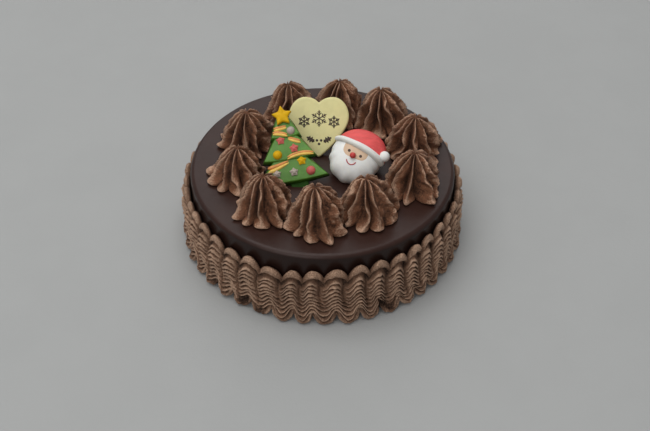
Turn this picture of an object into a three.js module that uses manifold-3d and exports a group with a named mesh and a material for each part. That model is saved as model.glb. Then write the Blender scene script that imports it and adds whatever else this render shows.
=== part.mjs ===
// A round chocolate cake: a glazed cake with a combed cream frill piped round its side, a ring of
// cream rosettes on its top, and a heart plaque, a tree and a bearded head inside the ring.
// Millimetres, +Z up, with the origin at the centre of the underside.

import * as THREE from "three";
import { mergeVertices } from "three/addons/utils/BufferGeometryUtils.js";
import Module from "manifold-3d";

const wasm = await Module();
wasm.setup();

// Driving dimensions, in millimetres and degrees
const GAP = 0.3;
const FAR = 120;
const WELD = 1e-4;
const STAR_POINTS = 5;
const CURVE_STEPS = 6;

const cake = { radius: 82, height: 50.5, edge: 3, edgeSteps: 4, foot: 1.2, columns: 64 };

// The ribbon's section at rest: an underside, ribs above one another, a neck and a rolled lip
const frill = {
  lobes: 44,
  columnsPerLobe: 4,
  crestAngle: 5,
  wave: 3.4,
  crestBulge: 2,
  footBulge: -1.2,
  bulgeRadius: 86,
  footRadius: 87.6,
  ribs: 6,
  ribPitch: 3.5,
  ribDepth: 1.8,
  ribStart: 7.6,
  ribFootRadius: 89,
  ribTopRadius: 87.9,
  neck: [84.8, 33.6],
  lipFace: [86.9, 36.2],
  lipTop: [84.8, 39.1],
  backHeight: 35,
};

// Shares of a rosette's radius and height, from its foot to its tip
const rosetteProfile = [[0.82, 0], [1, 0.08], [0.93, 0.2], [0.83, 0.37], [0.56, 0.74], [0.18, 0.97]];
const rosette = { radius: 18, ridges: 10, columnsPerRidge: 2, groove: 0.44, footGroove: 0.16, footRise: 0.3 };
// Where each rosette stands and how tall it is, with its own radius where that differs
const rosettePlaces = [
  { angle: 115, reach: 50.5, height: 27 },
  { angle: 80, reach: 51, height: 26.5 },
  { angle: 48, reach: 56, height: 27 },
  { angle: 15, reach: 58, height: 26 },
  { angle: -22, reach: 57.5, height: 27 },
  { angle: -60, reach: 53, height: 28 },
  { angle: -94, reach: 55, height: 29 },
  { angle: -128, reach: 56, height: 28 },
  { angle: -165.5, reach: 54.5, height: 22.5, radius: 16.2 },
  { angle: 158, reach: 51.5, height: 25.5 },
];

// The right half of the heart's outline, from its tip to the notch between its lobes
const heart = {
  tip: [0, -2],
  tipBend: [2.5, -0.8],
  sideBend: [18.8, 13.6],
  widest: [18.8, 23.4],
  shoulderBend: [18.8, 30.4],
  crownBend: [14, 35.8],
  crown: [8.8, 35.8],
  dipBend: [4.8, 35.8],
  notchBend: [1.4, 34.2],
  notch: [0, 32],
  thick: 3.6,
  bevel: 0.9,
  pressed: 2,
  slotWidth: 6.6,
  place: [-2.5, 9.3],
  lean: 48,
};

const tree = {
  place: [-16.1, -23.3],
  sunk: 2.5,
  lean: 36,
  roll: 11,
  trunk: { halfWidth: 5.5, length: 12, thick: 2.6, shift: 3.3, pressed: 2.2 },
  tiers: [
    { base: 6.6, halfWidth: 20.8, apex: 30.8, thick: 4 },
    { base: 20.1, halfWidth: 15.9, apex: 42.6, thick: 5.2 },
    { base: 33.8, halfWidth: 8.8, apex: 51, thick: 6.4 },
  ],
  apexHalfWidth: 0.8,
  sag: 2,
  bevel: 0.8,
  star: { height: 46.1, radius: 6.8, inner: 3.6, thick: 3 },
};
const treeBalls = [
  { at: [3.6, 36.6], radius: 2.6, tier: 2 },
  { at: [-6.9, 23.1], radius: 2.9, tier: 1 },
  { at: [11.3, 10.4], radius: 2.9, tier: 0 },
];
const treeStars = [
  { at: [-3.5, 31.6], radius: 3, tier: 1 },
  { at: [3.7, 25.5], radius: 3.1, tier: 1 },
  { at: [6.9, 17.3], radius: 3.2, tier: 0 },
  { at: [1.1, 11.1], radius: 3, tier: 0 },
  { at: [-9.2, 11.6], radius: 2.8, tier: 0 },
];
const treeGarlands = [
  { from: [-6.6, 38.8], bend: [-2.8, 38.9], to: [1.6, 39.3], tier: 2 },
  { from: [-7.6, 36.4], bend: [-3.3, 36.4], to: [1.2, 33.9], tier: 2 },
  { from: [1, 32.6], bend: [5, 30.3], to: [8.4, 29], tier: 1 },
  { from: [-1.5, 20], bend: [6.4, 23.2], to: [15, 20.6], tier: 1 },
  { from: [-14.3, 14.7], bend: [-9, 15.2], to: [-0.6, 18.2], tier: 0 },
];
const ornament = {
  root: 1,
  ballSunk: 0.4,
  ballSides: [8, 6],
  starInner: 0.55,
  starRise: 1.5,
  garlandWidth: 3,
  garlandRise: 0.9,
  garlandSteps: 4,
};

const head = {
  place: [19.9, -5, 60.2],
  lean: 34,
  roll: -27,
  halfWidth: 16.2,
  leftWidth: 15,
  halfHeight: 17.4,
  bulge: 2.4,
  bulgeAngle: 42,
  bulgePower: 4,
  front: 11.5,
  back: 9,
  scallop: 0.4,
  scallops: 12,
  columns: 24,
  rings: [1, 0.95, 0.82, 0.6, 0.32],
  roundness: 2.4,
  partHeight: 4.4,
  brim: { radius: 2, steps: 12, sides: 8 },
  pompom: { at: [16.3, 6.6, 7], radius: 3.3, sides: [12, 8] },
  nose: { at: [-0.4, -3.1], radius: 1.9, sunk: 0.5, sides: [8, 6] },
};
const brimRoute = [
  [-15.4, 4.2, 3.6], [-11, 4.5, 9], [-2, 4.5, 11.4], [6, 4.2, 10.9],
  [11.5, 3.5, 8.8], [14.6, 2.9, 5.9], [16.6, 2.4, 2.2],
];

const finishes = {
  glaze: { color: "#2a1a15", roughness: 0.3, metalness: 0 },
  cream: { color: "#6b4b3b", roughness: 0.75, metalness: 0 },
  ivory: { color: "#d9cf95", roughness: 0.5, metalness: 0 },
  green: { color: "#4f7f35", roughness: 0.5, metalness: 0 },
  yellow: { color: "#d9a21b", roughness: 0.5, metalness: 0 },
  red: { color: "#c8453f", roughness: 0.5, metalness: 0 },
  white: { color: "#e2e0d8", roughness: 0.6, metalness: 0 },
};

// A closed geometry as a solid that can be joined to others and cut.
function toSolid(geometry) {
  const bare = geometry.clone();
  bare.deleteAttribute("normal");
  bare.deleteAttribute("uv");
  const merged = mergeVertices(bare, WELD);
  const vertProperties = new Float32Array(merged.getAttribute("position").array);
  const triVerts = new Uint32Array(merged.getIndex().array);
  return new wasm.Manifold(new wasm.Mesh({ numProp: 3, vertProperties, triVerts }));
}

// A solid as a geometry again.
function toGeometry(solid) {
  const { vertProperties, numProp, triVerts } = solid.getMesh();
  const geometry = new THREE.BufferGeometry();
  geometry.setAttribute("position", new THREE.BufferAttribute(vertProperties, numProp));
  geometry.setIndex(new THREE.BufferAttribute(triVerts, 1));
  geometry.computeVertexNormals();
  return geometry;
}

// Geometries joined into one solid.
function joined(geometries) {
  return geometries.map(toSolid).reduce((whole, piece) => whole.add(piece));
}

function mesh(name, geometry, finish) {
  const piece = new THREE.Mesh(geometry, new THREE.MeshStandardMaterial(finish));
  piece.name = name;
  return piece;
}

// A profile of [radius, height] points turned round +Z.
function turned(profile, columns) {
  const points = profile.map(([radius, height]) => new THREE.Vector2(radius, height));
  return new THREE.LatheGeometry(points, columns).rotateX(Math.PI / 2);
}

// Moves each point of a turned geometry to the radius and height that rule gives for it.
function reshape(geometry, rule) {
  const position = geometry.getAttribute("position");
  for (let i = 0; i < position.count; i += 1) {
    const angle = Math.atan2(position.getY(i), position.getX(i));
    const radius = Math.hypot(position.getX(i), position.getY(i));
    const [newRadius, newHeight] = rule(angle, radius, position.getZ(i));
    position.setXYZ(i, newRadius * Math.cos(angle), newRadius * Math.sin(angle), newHeight);
  }
  return geometry;
}

// A group standing at place, rolled in its own plane and then leant back on its lower edge.
function leaning(place, lean, roll) {
  const group = new THREE.Group();
  group.position.set(...place);
  group.rotation.set(THREE.MathUtils.degToRad(lean), 0, THREE.MathUtils.degToRad(roll));
  group.updateMatrixWorld();
  return group;
}

// A flat shape made thick, with a bevelled edge inside its outline and its back on z = 0.
function slab(shape, thick, bevel) {
  const options = {
    depth: thick - 2 * bevel,
    bevelThickness: bevel,
    bevelSize: bevel,
    bevelOffset: -bevel,
    bevelSegments: 1,
    curveSegments: CURVE_STEPS,
  };
  return new THREE.ExtrudeGeometry(shape, options).translate(0, 0, bevel);
}

// A flat shape made thick, with square edges and its back on z = 0.
function plainSlab(shape, depth) {
  return new THREE.ExtrudeGeometry(shape, { depth, bevelEnabled: false });
}

function starShape(outer, inner) {
  const corners = Array.from({ length: 2 * STAR_POINTS }, (_, i) => {
    const angle = Math.PI / 2 + (i * Math.PI) / STAR_POINTS;
    const radius = i % 2 === 0 ? outer : inner;
    return new THREE.Vector2(radius * Math.cos(angle), radius * Math.sin(angle));
  });
  return new THREE.Shape(corners);
}

// The cake's turned body, with a rounded upper edge.
function cakeBody() {
  const { radius, height, edge, edgeSteps, foot, columns } = cake;
  const rounded = Array.from({ length: edgeSteps + 1 }, (_, i) => {
    const angle = (i / edgeSteps) * (Math.PI / 2);
    return [radius - edge + edge * Math.cos(angle), height - edge + edge * Math.sin(angle)];
  });
  return turned([[0, 0], [radius - foot, 0], [radius, foot], ...rounded, [0, height]], columns);
}

// The closed section of the frill, from its back along the underside, up the ribs and over the lip.
function frillSection() {
  const { wave, footRadius, ribs, ribPitch, ribDepth, ribStart, ribFootRadius, ribTopRadius } = frill;
  const back = cake.radius + GAP;
  const ribPoints = Array.from({ length: 2 * ribs + 1 }, (_, i) => {
    const crest = THREE.MathUtils.lerp(ribFootRadius, ribTopRadius, i / (2 * ribs));
    const depth = i % 2 === 0 ? ribDepth : 0;
    return [crest - depth, ribStart + (i * ribPitch) / 2];
  });
  return [
    [back, wave],
    [footRadius, wave],
    ...ribPoints,
    [ribTopRadius, ribStart + (ribs + 1 / 2) * ribPitch],
    frill.neck,
    frill.lipFace,
    frill.lipTop,
    [back, frill.backHeight],
    [back, wave],
  ];
}

// The frill's ribbon rises and falls once for each lobe, and swells out under each crest.
function frillRing() {
  const { lobes, columnsPerLobe, crestAngle, wave, crestBulge, footBulge, bulgeRadius, neck, lipTop } = frill;
  const { clamp, lerp, degToRad } = THREE.MathUtils;
  const back = cake.radius + GAP;
  const ring = turned(frillSection(), lobes * columnsPerLobe);
  reshape(ring, (angle, radius, height) => {
    const swing = Math.cos(lobes * angle);
    const lifted = clamp((radius - back) / (lipTop[0] - back), 0, 1);
    const swollen = height > neck[1] ? 0 : clamp((radius - neck[0]) / (bulgeRadius - neck[0]), 0, 1);
    const bulge = lerp(footBulge, crestBulge, height / neck[1]);
    return [radius + swing * swollen * bulge, height + swing * lifted * wave];
  });
  return ring.rotateZ(degToRad(crestAngle));
}

function rosetteCentre({ angle, reach }) {
  const turn = THREE.MathUtils.degToRad(angle);
  return new THREE.Vector2(reach * Math.cos(turn), reach * Math.sin(turn));
}

// One piped rosette: a pointed dome with sharp ridges, one of them facing out from the cake.
function rosetteDome(place) {
  const { radius, ridges, columnsPerRidge, groove, footGroove, footRise } = { ...rosette, ...place };
  const { clamp, lerp } = THREE.MathUtils;
  const outline = rosetteProfile.map(([share, rise]) => [share * radius, rise * place.height]);
  const dome = turned([[0, 0], ...outline, [0, place.height]], ridges * columnsPerRidge);
  reshape(dome, (angle, reach, height) => {
    const valley = (1 - Math.cos(ridges * (angle + Math.PI / 2))) / 2;
    const depth = lerp(footGroove, groove, clamp(height / (footRise * place.height), 0, 1));
    return [reach * (1 - depth * valley), height];
  });
  return dome.rotateZ(rosetteCentre(place).angle() + Math.PI / 2);
}

// Presses a rosette flat halfway to a neighbour that it would otherwise run into.
function pressFlat(dome, towards) {
  const position = dome.getAttribute("position");
  const limit = towards.length() / 2 - GAP / 2;
  const across = towards.clone().normalize();
  for (let i = 0; i < position.count; i += 1) {
    const past = Math.max(0, position.getX(i) * across.x + position.getY(i) * across.y - limit);
    position.setX(i, position.getX(i) - past * across.x);
    position.setY(i, position.getY(i) - past * across.y);
  }
}

function rosetteMesh(place, index) {
  const count = rosettePlaces.length;
  const centre = rosetteCentre(place);
  const dome = rosetteDome(place);
  for (const step of [1, count - 1]) {
    const neighbour = rosettePlaces[(index + step) % count];
    pressFlat(dome, rosetteCentre(neighbour).sub(centre));
  }
  const piece = mesh(`rosette_${String(index + 1).padStart(2, "0")}`, dome, finishes.cream);
  piece.position.set(centre.x, centre.y, cake.height);
  return piece;
}

// The heart's outline, up its right side to the notch and down its left side to the tip.
function heartShape() {
  const right = [
    heart.tipBend, heart.sideBend, heart.widest,
    heart.shoulderBend, heart.crownBend, heart.crown,
    heart.dipBend, heart.notchBend, heart.notch,
  ];
  const left = [...right.slice(0, -1).reverse(), heart.tip].map(([x, y]) => [-x, y]);
  const controls = [...right, ...left];
  const shape = new THREE.Shape();
  shape.moveTo(...heart.tip);
  for (let i = 0; i < controls.length; i += 3) {
    shape.bezierCurveTo(...controls[i], ...controls[i + 1], ...controls[i + 2]);
  }
  return shape;
}

function heartFrame() {
  return leaning([...heart.place, cake.height], heart.lean, 0);
}

// The plaque stands on its tip, which is pressed a little way into the cake.
function heartGroup() {
  const plaque = slab(heartShape(), heart.thick, heart.bevel);
  return heartFrame().add(mesh("heart_plaque", plaque, finishes.ivory));
}

function heartSlot() {
  const slot = new THREE.BoxGeometry(heart.slotWidth, 2 * heart.pressed, heart.thick + 2 * GAP);
  return slot.translate(0, -GAP, heart.thick / 2).applyMatrix4(heartFrame().matrixWorld);
}

function block(x, y, z) {
  return new THREE.BoxGeometry(FAR, FAR, FAR).translate(x, y, z);
}

// All the space under the cake's top, in a group's own axes.
function underTop(group) {
  const toLocal = group.matrixWorld.clone().invert();
  return toSolid(block(0, 0, cake.height + GAP - FAR / 2).applyMatrix4(toLocal));
}

function tierShape({ base, halfWidth, apex }) {
  const shape = new THREE.Shape();
  shape.moveTo(-halfWidth, base);
  shape.quadraticCurveTo(0, base - tree.sag, halfWidth, base);
  shape.lineTo(tree.apexHalfWidth, apex);
  shape.lineTo(-tree.apexHalfWidth, apex);
  shape.closePath();
  return shape;
}

// A raised ribbon bent across a tier.
function garland({ from, bend, to, tier }) {
  const ends = [from, bend, to].map(([x, y]) => new THREE.Vector2(x, y));
  const middle = new THREE.QuadraticBezierCurve(...ends).getPoints(ornament.garlandSteps);
  const half = ornament.garlandWidth / 2;
  const upper = middle.map((point) => new THREE.Vector2(point.x, point.y + half));
  const lower = middle.map((point) => new THREE.Vector2(point.x, point.y - half)).reverse();
  const depth = tree.tiers[tier].thick + ornament.garlandRise - ornament.root;
  const shape = new THREE.Shape([...upper, ...lower]);
  return plainSlab(shape, depth).translate(0, 0, ornament.root);
}

function treeBall({ at, radius, tier }) {
  const height = tree.tiers[tier].thick - ornament.ballSunk;
  return new THREE.SphereGeometry(radius, ...ornament.ballSides).translate(...at, height);
}

function treeStar({ at, radius, tier }) {
  const shape = starShape(radius, radius * ornament.starInner);
  const thick = tree.tiers[tier].thick + ornament.starRise - ornament.root;
  return plainSlab(shape, thick).translate(...at, ornament.root);
}

function trunkBox(grow) {
  const { halfWidth, length, thick, shift, pressed } = tree.trunk;
  const box = new THREE.BoxGeometry(2 * (halfWidth + grow), length + 2 * grow, thick + 2 * grow);
  return box.translate(shift, length / 2 - pressed, thick / 2);
}

function treeFrame() {
  return leaning([...tree.place, cake.height - tree.sunk], tree.lean, tree.roll);
}

// The tree stands on its trunk, which is pressed a little way into the cake, with its tiers above the cake.
function treeGroup() {
  const group = treeFrame();
  const tiers = tree.tiers.map((tier) => slab(tierShape(tier), tier.thick, tree.bevel));
  const trimmings = [...treeGarlands.map(garland), ...treeBalls.map(treeBall), ...treeStars.map(treeStar)];
  const aboveCake = joined([...tiers, ...trimmings]).subtract(underTop(group));
  const body = aboveCake.add(toSolid(trunkBox(0)));
  const { height, radius, inner, thick } = tree.star;
  const star = slab(starShape(radius, inner), thick, tree.bevel);
  star.translate(0, height, tree.tiers.at(-1).thick + GAP);
  group.add(mesh("tree_body", toGeometry(body), finishes.green));
  group.add(mesh("tree_star", star, finishes.yellow));
  return group;
}

// Height above the head's widest outline at a share of the outline's radius.
function headRise(share, depth) {
  return depth * (1 - share ** head.roundness) ** (1 / head.roundness);
}

// The whole head: an oval cushion, scalloped along its lower half, that swells out at the end of the cap.
function headBall() {
  const { halfWidth, leftWidth, halfHeight, front, back, scallop, scallops, rings, columns } = head;
  const { bulge, bulgeAngle, bulgePower } = head;
  const { degToRad } = THREE.MathUtils;
  const rear = rings.slice(1).reverse().map((share) => [share, -headRise(share, back)]);
  const face = rings.map((share) => [share, headRise(share, front)]);
  const ball = turned([[0, -back], ...rear, ...face, [0, front]], columns);
  return reshape(ball, (angle, share, height) => {
    const lower = Math.max(0, -Math.sin(angle));
    const wavy = scallop * Math.sqrt(lower) * Math.cos(scallops * (angle + Math.PI / 2));
    const width = Math.cos(angle) > 0 ? halfWidth : leftWidth;
    const oval = Math.hypot(width * Math.cos(angle), halfHeight * Math.sin(angle));
    const swell = bulge * Math.max(0, Math.cos(angle - degToRad(bulgeAngle))) ** bulgePower;
    return [share * (oval + wavy + swell), height];
  });
}

// The rolled brim follows the front of the head from side to side, grown all round and at both ends.
function brimRoll(grow) {
  const { radius, steps, sides } = head.brim;
  const section = new THREE.Shape().absarc(0, 0, radius + grow, 0, 2 * Math.PI);
  const route = brimRoute.map((point) => new THREE.Vector3(...point));
  route[0].add(route[0].clone().sub(route[1]).setLength(grow));
  route.at(-1).add(route.at(-1).clone().sub(route.at(-2)).setLength(grow));
  const extrudePath = new THREE.CatmullRomCurve3(route);
  return new THREE.ExtrudeGeometry(section, { extrudePath, steps, curveSegments: sides / 2 });
}

function pompomBall(grow) {
  const { at, radius, sides } = head.pompom;
  return new THREE.SphereGeometry(radius + grow, ...sides).translate(...at);
}

function noseBall(grow) {
  const { at, radius, sunk, sides } = head.nose;
  const share = Math.hypot(at[0] / head.halfWidth, at[1] / head.halfHeight);
  const height = headRise(share, head.front) + radius - sunk;
  return new THREE.SphereGeometry(radius + grow, ...sides).translate(...at, height);
}

// The head sits on a flat seat on the cake's top, and is parted under the brim into cap and beard.
function headGroup() {
  const group = leaning(head.place, head.lean, head.roll);
  const seated = toSolid(headBall()).subtract(underTop(group));
  const upper = toSolid(block(0, head.partHeight + (FAR - GAP) / 2, 0));
  const lower = toSolid(block(0, head.partHeight - (FAR - GAP) / 2, 0));
  const brimRoom = toSolid(brimRoll(GAP));
  const pompomRoom = toSolid(pompomBall(GAP));
  const beard = seated.subtract(upper).subtract(brimRoom).subtract(toSolid(noseBall(GAP)));
  const cap = seated.subtract(lower).subtract(brimRoom).subtract(pompomRoom);
  const brim = toSolid(brimRoll(0)).subtract(pompomRoom);
  group.add(mesh("head_beard", toGeometry(beard), finishes.white));
  group.add(mesh("head_cap", toGeometry(cap), finishes.red));
  group.add(mesh("head_brim", toGeometry(brim), finishes.white));
  group.add(mesh("head_pompom", pompomBall(0), finishes.white));
  group.add(mesh("head_nose", noseBall(0), finishes.red));
  return group;
}

// The glazed cake, with a slot for the plaque's tip and one for the tree's trunk.
function glazedCake() {
  const trunkSlot = trunkBox(GAP).applyMatrix4(treeFrame().matrixWorld);
  const body = toSolid(cakeBody()).subtract(toSolid(heartSlot())).subtract(toSolid(trunkSlot));
  return mesh("glazed_cake", toGeometry(body), finishes.glaze);
}

const chocolateCake = new THREE.Group();
chocolateCake.add(glazedCake());
chocolateCake.add(mesh("side_frill", frillRing(), finishes.cream));
chocolateCake.add(...rosettePlaces.map(rosetteMesh));
chocolateCake.add(heartGroup(), treeGroup(), headGroup());

export default chocolateCake;
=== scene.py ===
"""Looks of a round chocolate cake: glaze, piped cream frill and rosettes, and three moulded toppers.

Lengths are in millimetres and angles in degrees until a mesh is written, which is in metres.
"""

import itertools
import logging
import math
from dataclasses import dataclass, field
from enum import Enum

import bpy
import numpy as np
from mathutils import Matrix, Vector


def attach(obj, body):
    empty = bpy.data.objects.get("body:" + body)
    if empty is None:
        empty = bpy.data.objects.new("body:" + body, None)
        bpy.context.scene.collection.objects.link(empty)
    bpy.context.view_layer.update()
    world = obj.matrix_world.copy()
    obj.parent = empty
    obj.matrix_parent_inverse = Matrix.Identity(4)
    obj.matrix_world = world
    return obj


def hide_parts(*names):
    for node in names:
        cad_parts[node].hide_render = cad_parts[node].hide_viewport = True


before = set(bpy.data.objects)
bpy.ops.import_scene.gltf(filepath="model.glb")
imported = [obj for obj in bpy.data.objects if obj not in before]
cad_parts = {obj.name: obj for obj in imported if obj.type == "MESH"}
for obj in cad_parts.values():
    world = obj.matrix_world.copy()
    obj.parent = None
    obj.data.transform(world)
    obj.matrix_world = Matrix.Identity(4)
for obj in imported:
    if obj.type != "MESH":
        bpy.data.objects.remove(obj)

Colour = tuple[float, float, float]
Point2 = tuple[float, float]
Point3 = tuple[float, float, float]
Span = tuple[float, float]
Array = np.ndarray
Level = float | Array
Values = tuple[float, ...]
Line = tuple[Point2, ...]
# An outline's points and rounding passes, or a ball's rows and columns
Steps = tuple[int, int]
Socket = bpy.types.NodeSocket

LOG = logging.getLogger("chocolate_cake")
MM = 0.001
TURN = 2.0 * math.pi
TURN_DEGREES = 360.0
UNIT: Span = (0.0, 1.0)
UP: Point3 = (0.0, 0.0, 1.0)
BODY = "root"


class Slot(Enum):
    """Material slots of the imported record."""

    GLAZE = "glaze"
    CREAM = "cream"
    IVORY = "ivory"
    GREEN = "green_sugar"
    YELLOW = "yellow_sugar"
    RED = "red_sugar"
    WHITE = "white_sugar"


class Sense(Enum):
    """Which side of a cut is kept."""

    BELOW = -1.0
    ABOVE = 1.0


# Arrays and curves


def ease(values: Array, low: Level, high: Level) -> Array:
    """Smooth step from 0 at low to 1 at high: s * s * (3 - 2 s), with s the clamped share.

    Args:
        values: Numbers to place between low and high.
        low: Where the step starts.
        high: Where the step ends.

    Returns:
        The eased shares, shaped as values.
    """
    share = np.clip((values - low) / (high - low), 0.0, 1.0)
    return share * share * (3.0 - 2.0 * share)


def blend(first: Array, second: Array, share: Array) -> Array:
    """Straight mix of two arrays: first + share * (second - first)."""
    return first + share * (second - first)


def soft_abs(values: Array, softness: float) -> Array:
    """Absolute value with a rounded foot: the root of the square plus a small square, less its root."""
    return np.maximum(0.0, np.sqrt(values * values + softness * softness) - softness)


def turn_steps(count: int) -> Array:
    """Angles of even steps round a whole turn, in radians."""
    return np.linspace(0.0, TURN, count, endpoint=False)


def heading(turn: float) -> Array:
    """A step of length 1 in a plane: the cosine and the sine of an angle in radians."""
    return np.array([math.cos(turn), math.sin(turn)])


def around_axis(radius: Level, turn: Array, height: Level) -> Array:
    """Points round +Z: the radius times the angle's cosine and sine, and the height.

    Args:
        radius: How far each point is from the axis.
        turn: Its angle, in radians.
        height: How high it is.

    Returns:
        The points, shaped as the three together, with the axes last.
    """
    parts = np.broadcast_arrays(radius * np.cos(turn), radius * np.sin(turn), height)
    return np.stack(parts, axis=-1)


def smooth_path(controls: Array, count: int) -> Array:
    """Points along a Catmull-Rom curve through the controls.

    Between two controls b and c, with a before and d after, the point at share t is
    b + t/2 ((c - a) + t ((2a - 5b + 4c - d) + t (3b - a - 3c + d))).

    Args:
        controls: Points to pass through, one in each row.
        count: How many points to return.

    Returns:
        The points, one in each row.
    """
    padded = np.vstack([controls[:1], controls, controls[-1:]])
    place = np.linspace(0.0, len(controls) - 1.0, count)
    index = np.minimum(place.astype(int), len(controls) - 2)
    t = (place - index)[:, None]
    a, b, c, d = (padded[index + step] for step in range(4))
    cubic = 3.0 * b - a - 3.0 * c + d
    square = 2.0 * a - 5.0 * b + 4.0 * c - d
    return b + t / 2.0 * ((c - a) + t * (square + t * cubic))


def even_path(controls: list[Values], count: int, dense: int = 400) -> Array:
    """Points of a smooth path, moved to be evenly far apart along it.

    Args:
        controls: Points to pass through.
        count: How many points to return.
        dense: How many points the path is measured with.

    Returns:
        The points, one in each row.
    """
    path = smooth_path(np.array(controls, float), dense)
    steps = np.linalg.norm(np.diff(path, axis=0), axis=1)
    length = np.concatenate([[0.0], np.cumsum(steps)])
    wanted = np.linspace(0.0, length[-1], count)
    return np.stack([np.interp(wanted, length, axis) for axis in path.T], axis=1)


def even_outline(corners: Array, count: int, passes: int) -> Array:
    """A closed outline of even steps along straight edges, with its corners rounded.

    Each pass replaces a point by a quarter of both neighbours and half of itself.

    Args:
        corners: Corners in order, one in each row.
        count: How many points to return.
        passes: How often the corners are rounded off.

    Returns:
        The outline, one point in each row, without its first point repeated.
    """
    ring = np.vstack([corners, corners[:1]])
    length = np.concatenate([[0.0], np.cumsum(np.linalg.norm(np.diff(ring, axis=0), axis=1))])
    wanted = np.linspace(0.0, length[-1], count, endpoint=False)
    outline = np.stack([np.interp(wanted, length, axis) for axis in ring.T], axis=1)
    for _ in range(passes):
        outline = (np.roll(outline, 1, axis=0) + 2.0 * outline + np.roll(outline, -1, axis=0)) / 4.0
    return outline


def bezier(ends: list[Point2], count: int) -> Array:
    """Points on a quadratic or cubic Bezier curve, by repeated straight mixing of its controls.

    Args:
        ends: Three or four controls.
        count: How many points to return.

    Returns:
        The points, one in each row.
    """
    share = np.linspace(0.0, 1.0, count)[:, None]
    level = [np.array(point, float)[None, :] for point in ends]
    while len(level) > 1:
        level = [blend(first, second, share) for first, second in zip(level, level[1:])]
    return level[0]


def star_outline(outer: float, inner: float, count: int, passes: int, points: int = 5) -> Array:
    """A star's outline, whose corners are by turns at the outer and the inner radius.

    Args:
        outer: Radius of the tips.
        inner: Radius of the corners between the tips.
        count: How many points to return.
        passes: How often the corners are rounded off.
        points: How many tips the star has.

    Returns:
        The outline round the origin, one point in each row.
    """
    step = np.arange(2 * points)
    angle = math.pi / 2.0 + step * math.pi / points
    radius = np.where(step % 2 == 0, outer, inner)
    corners = np.stack([radius * np.cos(angle), radius * np.sin(angle)], axis=1)
    return even_outline(corners, count, passes)


@dataclass(frozen=True)
class LatticeNoise:
    """Smooth seeded noise: a random value at each corner of a cubic lattice, mixed between corners."""

    seed: int
    primes: tuple[int, int, int, int] = (374761393, 668265263, 1274126177, 2246822519)
    shifts: tuple[int, int, int] = (13, 15, 16)
    mask: int = 0xFFFFFFFF
    low_bits: int = 0xFFFF
    half: float = 32767.5

    def corner(self, cell: Array) -> Array:
        """Value from -1 to 1 of lattice corners: their whole numbers times primes, with the bits mixed.

        Args:
            cell: Whole-number corners, with the three axes last.

        Returns:
            One value for each corner.
        """
        a, b, c, d = self.primes
        first, second, third = self.shifts
        whole = cell.astype(np.int64)
        mixed = whole[..., 0] * a + whole[..., 1] * b + whole[..., 2] * c + self.seed * d
        mixed = mixed & self.mask
        mixed = ((mixed ^ (mixed >> first)) * c) & self.mask
        mixed = ((mixed ^ (mixed >> second)) * a) & self.mask
        return ((mixed ^ (mixed >> third)) & self.low_bits) / self.half - 1.0

    def at(self, points: Array, size: float) -> Array:
        """Noise whose features are about size across.

        The eight corner values round a point are weighted by eased distances along each axis.

        Args:
            points: Places in millimetres, with the three axes last.
            size: Width of a lattice cell.

        Returns:
            One value from -1 to 1 for each point.
        """
        scaled = points / size
        cell = np.floor(scaled)
        eased = ease(scaled - cell, 0.0, 1.0)
        total = np.zeros(points.shape[:-1])
        for step in itertools.product((0.0, 1.0), repeat=3):
            weight = np.prod(np.where(np.array(step) > 0.0, eased, 1.0 - eased), axis=-1)
            total += weight * self.corner(cell + np.array(step))
        return total

    def layered(self, points: Array, size: float, layers: int = 3) -> Array:
        """Sum of noises, each half as wide and half as strong as the one before.

        Args:
            points: Places in millimetres, with the three axes last.
            size: Width of the widest features.
            layers: How many noises are summed.

        Returns:
            One value, about -1 to 1, for each point.
        """
        parts = [self.at(points, size / 2**step) / 2**step for step in range(layers)]
        return np.sum(parts, axis=0)


@dataclass(frozen=True)
class Ripple:
    """Noise of one strength and width, read at moved points so that it differs from its like."""

    strength: float
    size: float
    shift: float = 0.0
    layers: int = 1

    def at(self, noise: LatticeNoise, points: Array) -> Array:
        """Strength times the layered noise at the moved points."""
        return self.strength * noise.layered(points + self.shift, self.size, self.layers)


# Surfaces

# Sines between which the crest values of a ball and of a cord go from 0 to 1, painted shade underneath to
# painted highlight on top
GLOBE_CREST: Span = (-0.6, 1.0)
CORD_CREST: Span = (-0.8, 1.0)
# Share of its radius that a cord keeps at its ends
CORD_TIP = 0.02


def grid_faces(rows: int, columns: int, close_rows: bool) -> Array:
    """Quads of a grid whose last column joins its first.

    Args:
        rows: Number of rings.
        columns: Number of points in a ring.
        close_rows: Whether the last ring joins the first.

    Returns:
        Corner indices, four in each row.
    """
    row = np.arange(rows if close_rows else rows - 1)[:, None]
    column = np.arange(columns)[None, :]
    after = (column + 1) % columns
    above = (row + 1) % rows
    here, there = row * columns, above * columns
    corners = [here + column, here + after, there + after, there + column]
    return np.stack(corners, axis=-1).reshape(-1, 4)


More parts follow.
